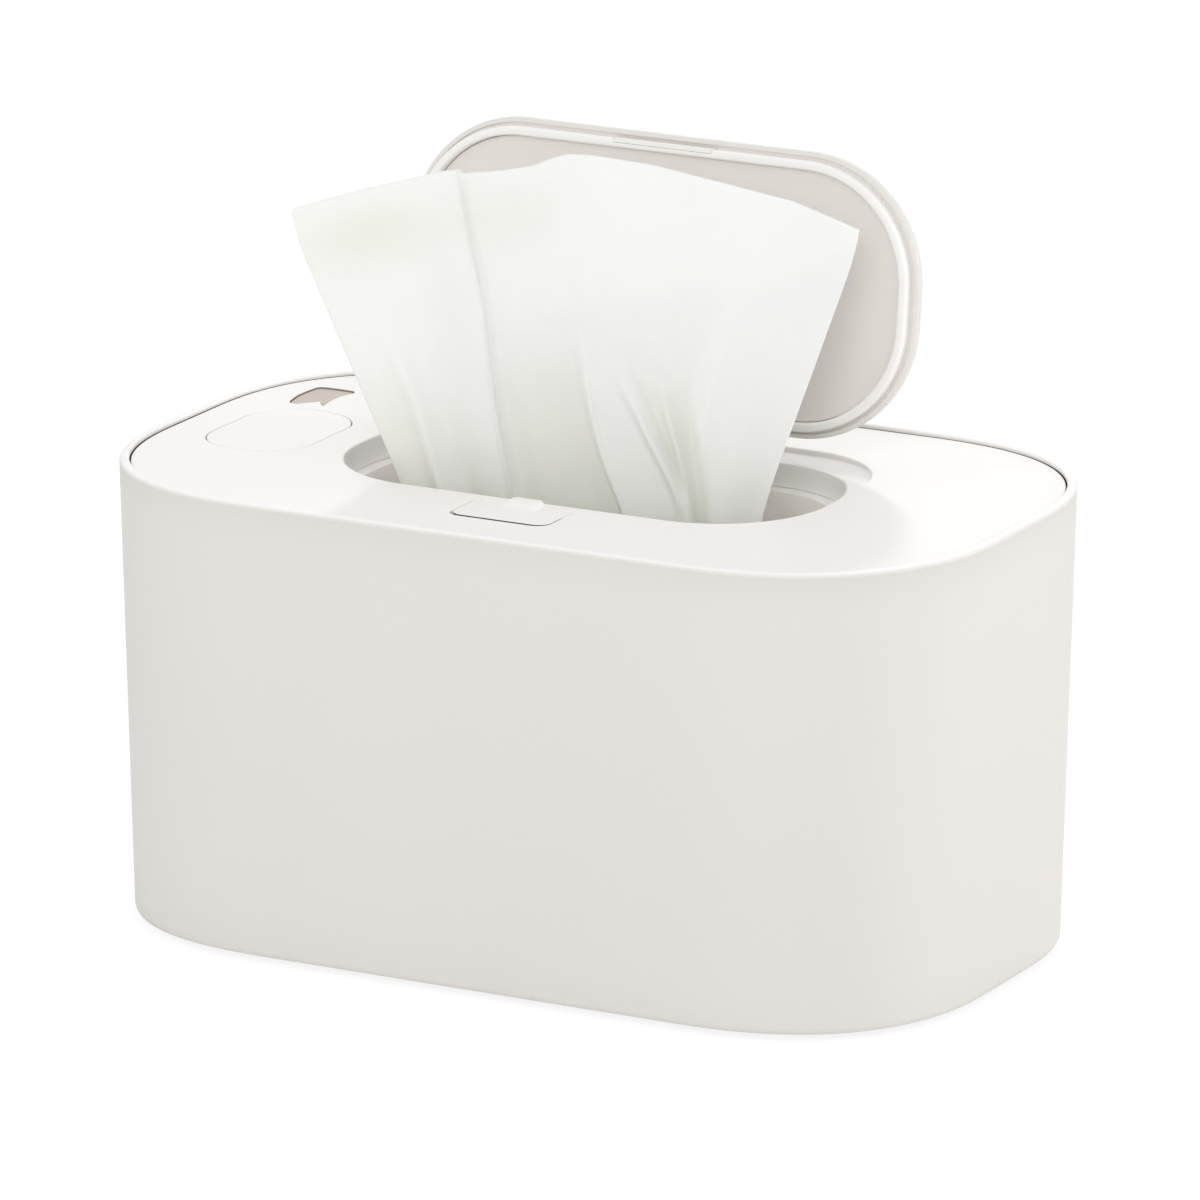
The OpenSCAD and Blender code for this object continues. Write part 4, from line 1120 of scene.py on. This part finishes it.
# %% Springs under the two buttons
key_wire, latch_wire = 0.35, 0.3
key_path = coil(*key_centre, guide_low, under_z - 1.5, 5.4, 4, key_wire)
key_spring = put("power_coil", *wire(key_path, key_wire), "deck", "spring_steel")
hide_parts("power_spring")
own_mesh(key_spring)
spring_y, spring_z = latch_front + 4.4, bracket_low + 1.3
latch_path = coil(0, spring_y, spring_z, under_z - 0.1, 2.6, 5, latch_wire)
latch_coil = put("latch_coil", *wire(latch_path, latch_wire), "deck", "spring_steel")
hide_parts("latch_spring")
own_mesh(latch_coil)

# %% Torsion spring at the hinge
spring_x, spring_r, spring_turns = 5.5, 2.1, 5.5
wound = np.linspace(0, 1, 180)
angle = 2 * math.pi * spring_turns * wound
winding = np.column_stack([spring_x - 2 * spring_x * wound, hinge_y + spring_r * np.cos(angle),
                           hinge_z + spring_r * np.sin(angle)])
deck_leg = np.column_stack([np.full(8, spring_x), np.full(8, hinge_y + spring_r),
                            np.linspace(deck_z - 0.1, hinge_z - 0.4, 8)])
lid_leg = swing(np.column_stack([np.full(8, -spring_x), hinge_y + np.linspace(-3.2, -8, 8),
                                 np.full(8, hinge_z - 0.9)]))
hinge_path = np.concatenate([deck_leg, winding, lid_leg])
hinge_coil = put("hinge_coil", *wire(hinge_path, 0.35), None, "spring_steel")
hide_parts("lid_spring")
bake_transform(hinge_coil)

# %% [markdown]
# ## Wipe
# A wipe is a flat cloth of about 180 by 200 mm. It is pulled up through the opening, so it is
# gathered there and fans out above. The sheet is a grid: u runs from the left edge to the right one
# and v from the stack up to the free edge. Folds are ridges that follow curves in (u, v); each one
# moves the cloth square to itself, toward or away from the viewer.

# %% Wipe: the ground shape
stack_z, lip_v, lip_level = stack_top + 0.3, 0.3, deck_z - 4
left_line = np.array([(-34, -16), (-43.2, -22), (-66.9, -40)], float)
right_line = np.array([(42, 2), (48.4, -2), (65.3, 20)], float)
top_line = np.array([
    (0, 187.6), (0.004, 189), (0.017, 189.7), (0.137, 194.7), (0.238, 198.2), (0.284, 199.8), (0.292, 199.6),
    (0.3, 198.9), (0.371, 199.9), (0.424, 201.3), (0.451, 203), (0.484, 204.4), (0.524, 204.2),
    (0.637, 201.8), (0.77, 197.1), (0.883, 193), (0.943, 189.5), (1, 186)])


def smooth(x, a, b):
    """0 below a, 1 above b, and a smooth step between them."""
    t = np.clip((x - a) / (b - a), 0, 1)
    return t * t * (3 - 2 * t)


def eased(x, knots, values, reach):
    """Linear interpolation with its corners rounded: the mean over a short span round each x."""
    return np.mean([np.interp(x + o, knots, values) for o in np.linspace(-reach, reach, 9)], axis=0)


def three(values, v):
    """Value at v along a line through three levels: the stack, the lip and the free edge."""
    return np.stack([eased(v, (0, lip_v, 1), values[:, k], 0.12) for k in range(values.shape[1])], -1)


def ridge(x, middle, width):
    """A bell-shaped bump: e to the power of minus ((x - middle) / width) squared."""
    return np.exp(-((x - middle) / width) ** 2)


# %% [markdown]
# A cloth simulation could fold a sheet too, but not along lines that one has chosen. Here each fold
# is a line that climbs from the opening and leans with the cloth, given by a few (v, u) points.

# %% Wipe: where the folds run, as (v, u) points
fold_lines = {
    "left": [(0, 0.12), (0.3, 0.112), (0.4, 0.115), (0.5, 0.117), (0.6, 0.108), (0.67, 0.09), (1, 0.03)],
    "main": [(0, 0.32), (0.3, 0.299), (0.46, 0.288), (0.6, 0.293), (0.74, 0.299), (0.86, 0.289), (1, 0.283)],
    "second": [(0, 0.66), (0.27, 0.625), (0.36, 0.568), (0.43, 0.539), (0.5, 0.52), (0.57, 0.508),
               (0.62, 0.504), (1, 0.49)],
    "vee_left": [(0, 0.82), (0.275, 0.79), (0.34, 0.762), (0.41, 0.7), (0.49, 0.64), (0.55, 0.595),
                 (0.62, 0.56), (1, 0.54)],
    "vee_right": [(0, 0.835), (0.27, 0.805), (0.38, 0.769), (0.45, 0.736), (0.5, 0.704), (0.56, 0.68),
                  (1, 0.66)],
    "plane": [(0, 0.86), (0.27, 0.825), (0.36, 0.792), (0.5, 0.771), (0.58, 0.773), (0.67, 0.787),
              (0.8, 0.82), (1, 0.83)]}


def line(name, v):
    """u of a fold's line at height v."""
    points = np.array(fold_lines[name])
    return eased(v, points[:, 0], points[:, 1], 0.06)


# %% Wipe: how the folds stand out
def folds(u, v):
    """How far the cloth stands out from the ground shape, in millimetres, towards the viewer. A fold
    with a crease on its right rises slowly and drops at once; it dies out where the cloth fans out."""
    low = 1 - v
    main, second, left = line("main", v), line("second", v), line("left", v)
    vee_a, vee_b, edge = line("vee_left", v), line("vee_right", v), line("plane", v)
    flap = 3.0 * smooth(u, main - 0.13, main - 0.002) * (1 - smooth(u, main, main + 0.026))
    flap += 0.7 * ridge(u, main - 0.002, 0.006)
    flap -= 1.5 * ridge(u, main + 0.05, 0.035) * (0.4 + low)
    ridge_two = 3.4 * smooth(u, second - 0.026, second + 0.004)
    ridge_two *= 1 - smooth(u, second + 0.005, second + 0.12)
    ridge_two += 0.6 * ridge(u, second + 0.003, 0.006) - 1.4 * ridge(u, second - 0.08, 0.06)
    ridge_two *= 1 - smooth(v, 0.5, 0.70)
    ridge_left = 2.6 * ridge(u, left, 0.022) - 1.4 * ridge(u, left + 0.05, 0.035)
    ridge_left *= 1 - smooth(v, 0.5, 0.78)
    vee = 3.4 * ridge(u, vee_a, 0.017) + 2.8 * ridge(u, vee_b, 0.012)
    vee -= 1.8 * ridge(u, (vee_a + vee_b) / 2, 0.02) + 1.6 * ridge(u, vee_b + 0.035, 0.02)
    vee *= 1 - smooth(v, 0.44, 0.60)
    plane = 3.6 * smooth(u, edge - 0.02, edge + 0.035) * (1 - smooth(u, 0.86, 1.05))
    plane *= 1 - smooth(v, 0.60, 0.9)
    wave = 2.2 * np.sin(2 * math.pi * (1.3 * u + 0.15)) * (0.3 + 0.7 * v)
    wave += 0.8 * np.sin(2 * math.pi * (3.1 * u + 0.4 * v))
    gather = low ** 2 * np.sin(2 * math.pi * 7.5 * u + 3 * np.sin(5 * u)) * (1 - smooth(v, 0.2, 0.62))
    return flap + ridge_two + ridge_left + vee + plane + wave + gather


# %% [markdown]
# Lotion soaks in unevenly and turns the cloth a little greener and duller. Noise in the material
# would put it anywhere. A value for each vertex puts it where it is wanted. The same value also lays
# painted shade in the hollow left of each fold and painted light on the upper right.

# %% Wipe: where it is damp, and its painted shade and light
def spot(u, v, at, size):
    """A soft round patch on the sheet, 1 at its middle."""
    return ridge(u, at[0], size[0]) * ridge(v, at[1], size[1])


def damp_and_fold_shade(u, v):
    """Where the cloth takes its greener, duller tone: a little all over, and most near the opening, where
    lotion soaks in; in a few patches higher up; and as painted shade in the hollow left of each fold.
    The upper right is lighter, with painted light."""
    main, second, left = line("main", v), line("second", v), line("left", v)
    vee_a, vee_b = line("vee_left", v), line("vee_right", v)
    # Painted shade in the hollow left of each fold.
    painted_fold_shade = 0.34 * smooth(u, main + 0.004, main + 0.05) * (1 - smooth(u, second - 0.03, second + 0.004))
    painted_fold_shade += 0.30 * (1 - smooth(u, left - 0.02, left + 0.01))
    painted_fold_shade += 0.34 * smooth(u, vee_a + 0.012, vee_a + 0.03) * (1 - smooth(u, vee_b + 0.05, vee_b + 0.08))
    painted_fold_shade *= 1 - smooth(v, 0.50, 0.66)
    low = 0.30 * (1 - smooth(v, 0.22, 0.62))
    patches = 0.60 * spot(u, v, (0.12, 0.90), (0.14, 0.08)) + 0.36 * spot(u, v, (0.40, 0.90), (0.11, 0.08))
    patches += 0.2 * spot(u, v, (0.24, 0.72), (0.06, 0.12))
    # Painted light on the upper right, where the cloth bulges to the light.
    painted_light_patch = 0.30 * spot(u, v, (0.72, 0.78), (0.26, 0.18))
    return np.clip(0.28 + low + painted_fold_shade + patches - painted_light_patch, 0, 1)


# %% Wipe: points
def sheet_points(u, v):
    """Points of the wipe: the ground shape between its two side lines, moved square to itself by the
    folds. At the main fold the cloth also laps over itself a little."""
    a, b = three(left_line, v), three(right_line, v)
    across = b - a
    normal = np.stack([across[..., 1], -across[..., 0]], -1)
    normal /= np.linalg.norm(normal, axis=-1)[..., None]
    top = np.interp(u, top_line[:, 0], top_line[:, 1])
    under_lip = stack_z + (lip_level - stack_z) * v / lip_v
    over_lip = lip_level + (top - lip_level) * (v - lip_v) / (1 - lip_v)
    d = folds(u, v)
    overlap = 0.014 * ridge(u, line("main", v) - 0.004, 0.010)
    xy = a + across * (u + overlap)[..., None] + normal * d[..., None]
    return np.concatenate([xy, (np.where(v < lip_v, under_lip, over_lip) + 0.28 * d * v * v)[..., None]], -1)


def followed_grid(wide, tall, starts, apart=0.012):
    """(u, v) of the grid. A column at one of the starts follows one fold's line all the way up, so that
    a crease lies along an edge of the mesh; the other columns are shared out between them."""
    across_at, up_at = np.linspace(0, 1, wide), np.linspace(0, 1, tall)
    order = np.arange(len(starts))[:, None] * apart
    followed = np.stack([np.zeros(tall)] + [line(name, up_at) for name in fold_lines] + [np.ones(tall)])
    followed = np.minimum(np.maximum.accumulate(followed - order, axis=0) + order, 1)
    span = np.clip(np.searchsorted(starts, across_at, side="right") - 1, 0, len(starts) - 2)
    part = (across_at - starts[span]) / (starts[span + 1] - starts[span])
    u = ((1 - part)[:, None] * followed[span] + part[:, None] * followed[span + 1]).T
    return u, np.broadcast_to(up_at[:, None], u.shape)


# %% Wipe: the mesh
sheet_wide, sheet_tall, wipe_t = 285, 171, 0.5
fold_starts = np.array([0, 0.10, 0.29, 0.52, 0.63, 0.70, 0.78, 1])
sheet_u, sheet_v = followed_grid(sheet_wide, sheet_tall, fold_starts)
cloth_points, cloth_faces = sheet_points(sheet_u, sheet_v), grid(sheet_tall, sheet_wide, ring_cols=False)
wipe = put("wipe_sheet", cloth_points.reshape(-1, 3), [cloth_faces], "deck", "wipe_fabric",
           sharp=180, shade=damp_and_fold_shade(sheet_u, sheet_v).ravel())
solid = wipe.modifiers.new("thickness", "SOLIDIFY")
solid.thickness, solid.offset = wipe_t * MM, 0
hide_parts("wipe")
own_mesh(wipe)
edge_a, edge_b = cloth_points[:, 1:] - cloth_points[:, :-1], cloth_points[1:] - cloth_points[:-1]
area = np.linalg.norm(np.cross(edge_a[:-1], edge_b[:, :-1]), axis=-1).sum()
print("wipe shows %.0f square centimetres" % (area / 100))

# %% [markdown]
# ## Folded wipes
# The stack is many layers of folded cloth. Its edge shows each layer as a soft roll, so the side is
# a wave down its height; the top layer sags a little towards the middle, where a wipe was pulled.

# %% Stack of folded wipes
stack_bottom, stack_half, stack_r, layers = 17.1, (90, 49.05), 6, 22
height_at = np.linspace(0, 1, layers * 6 + 1)
layer_z = stack_bottom + (stack_top - stack_bottom) * height_at
layer_in = 0.1 + 0.7 * (1 - np.abs(np.sin(math.pi * layers * height_at)) ** 0.6)
sag = [(3, 0.0), (8, 0.15), (16, 0.5), (26, 0.9), (36, 1.1)]


def stack_plan(d):
    """The stack's outline drawn in by d, with the same small corners all the way."""
    return plan((stack_half[0] - d, stack_half[1] - d), stack_r, steps=8, along=30)


stack_profile = [*zip(layer_in, layer_z), *[(d, stack_top - down) for d, down in sag]]
stack_parts = loft(wall_rings(stack_plan, stack_profile), poles=True)
stack = put("folded_wipes", *stack_parts, "base", "wipe_fabric", sharp=60)
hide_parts("wipe_stack")

# %% [markdown]
# ## Stage
# The photograph has a plain white ground. The floor is one large plane. For the camera it is mostly
# a plain white, with a share of real shading kept so the object's shadow still falls on it; for
# every other ray it is plain white paint. The world is white as well, and gives the object a little
# less light than it shows to the camera and in reflections.

# %% Floor and world
floor_data = bpy.data.meshes.new("floor")
floor_data.from_pydata([(-9, -6, 0), (9, -6, 0), (9, 12, 0), (-9, 12, 0)], [], [(0, 1, 2, 3)])
floor = bpy.data.objects.new("floor", floor_data)
bpy.context.scene.collection.objects.link(floor)
floor_paint = bpy.data.materials.new("floor_paint")
floor_data.materials.append(floor_paint)
world = bpy.data.worlds.new("studio")
bpy.context.scene.world = world


def empty_tree(owner):
    """The node tree of a material or a world, with nothing in it."""
    owner.use_nodes = True
    owner.node_tree.nodes.clear()
    return owner.node_tree


floor_tree = empty_tree(floor_paint)
is_camera = add(floor_tree, "ShaderNodeLightPath").outputs["Is Camera Ray"]
paint = add(floor_tree, "ShaderNodeBsdfDiffuse", Color=(0.86, 0.86, 0.86, 1)).outputs[0]
glow = add(floor_tree, "ShaderNodeEmission", Strength=1.08).outputs[0]
seen = add(floor_tree, "ShaderNodeMixShader", 0.8, paint, glow).outputs[0]
ground = add(floor_tree, "ShaderNodeMixShader", is_camera, paint, seen).outputs[0]
add(floor_tree, "ShaderNodeOutputMaterial", ground)

sky_tree = empty_tree(world)
ray = add(sky_tree, "ShaderNodeLightPath").outputs
soft = add(sky_tree, "ShaderNodeBackground", Color=WHITE, Strength=0.80).outputs[0]
white = add(sky_tree, "ShaderNodeBackground", Color=WHITE, Strength=1.0).outputs[0]
seen_or_mirrored = calc(sky_tree, "MAXIMUM", ray["Is Camera Ray"], ray["Is Glossy Ray"])
bright = calc(sky_tree, "MAXIMUM", seen_or_mirrored, ray["Is Transmission Ray"])
sky = add(sky_tree, "ShaderNodeMixShader", bright, soft, white).outputs[0]
add(sky_tree, "ShaderNodeOutputWorld", sky)

# %% [markdown]
# ## Lights
# The light comes from high behind on the left, so the deck is brightest and the front lies in soft
# shade. One small lamp gives that, and the highlights on the rim, to which a painted highlight on the
# rim's roll adds all round. Two large ones, whose light is soft, open up the right end and the
# front. The world alone would leave the body without any form.

# %% Lights
def lamp(name, place, size, watts):
    """A square area light aimed at the object."""
    data = bpy.data.lights.new(name, "AREA")
    data.shape, data.size, data.energy = "SQUARE", size, watts
    light = bpy.data.objects.new(name, data)
    light.location = place
    light.rotation_euler = (Vector((0, 0, 0.1)) - Vector(place)).to_track_quat("-Z", "Y").to_euler()
    bpy.context.scene.collection.objects.link(light)


lamp("back_key", (-0.80, 2.08, 1.72), 0.32, 8.6)
lamp("right_fill", (1.9, 1.4, 0.45), 1.0, 13.5)
lamp("front_fill", (0.8, -2.35, 1.3), 1.3, 15.5)
print("stage set")
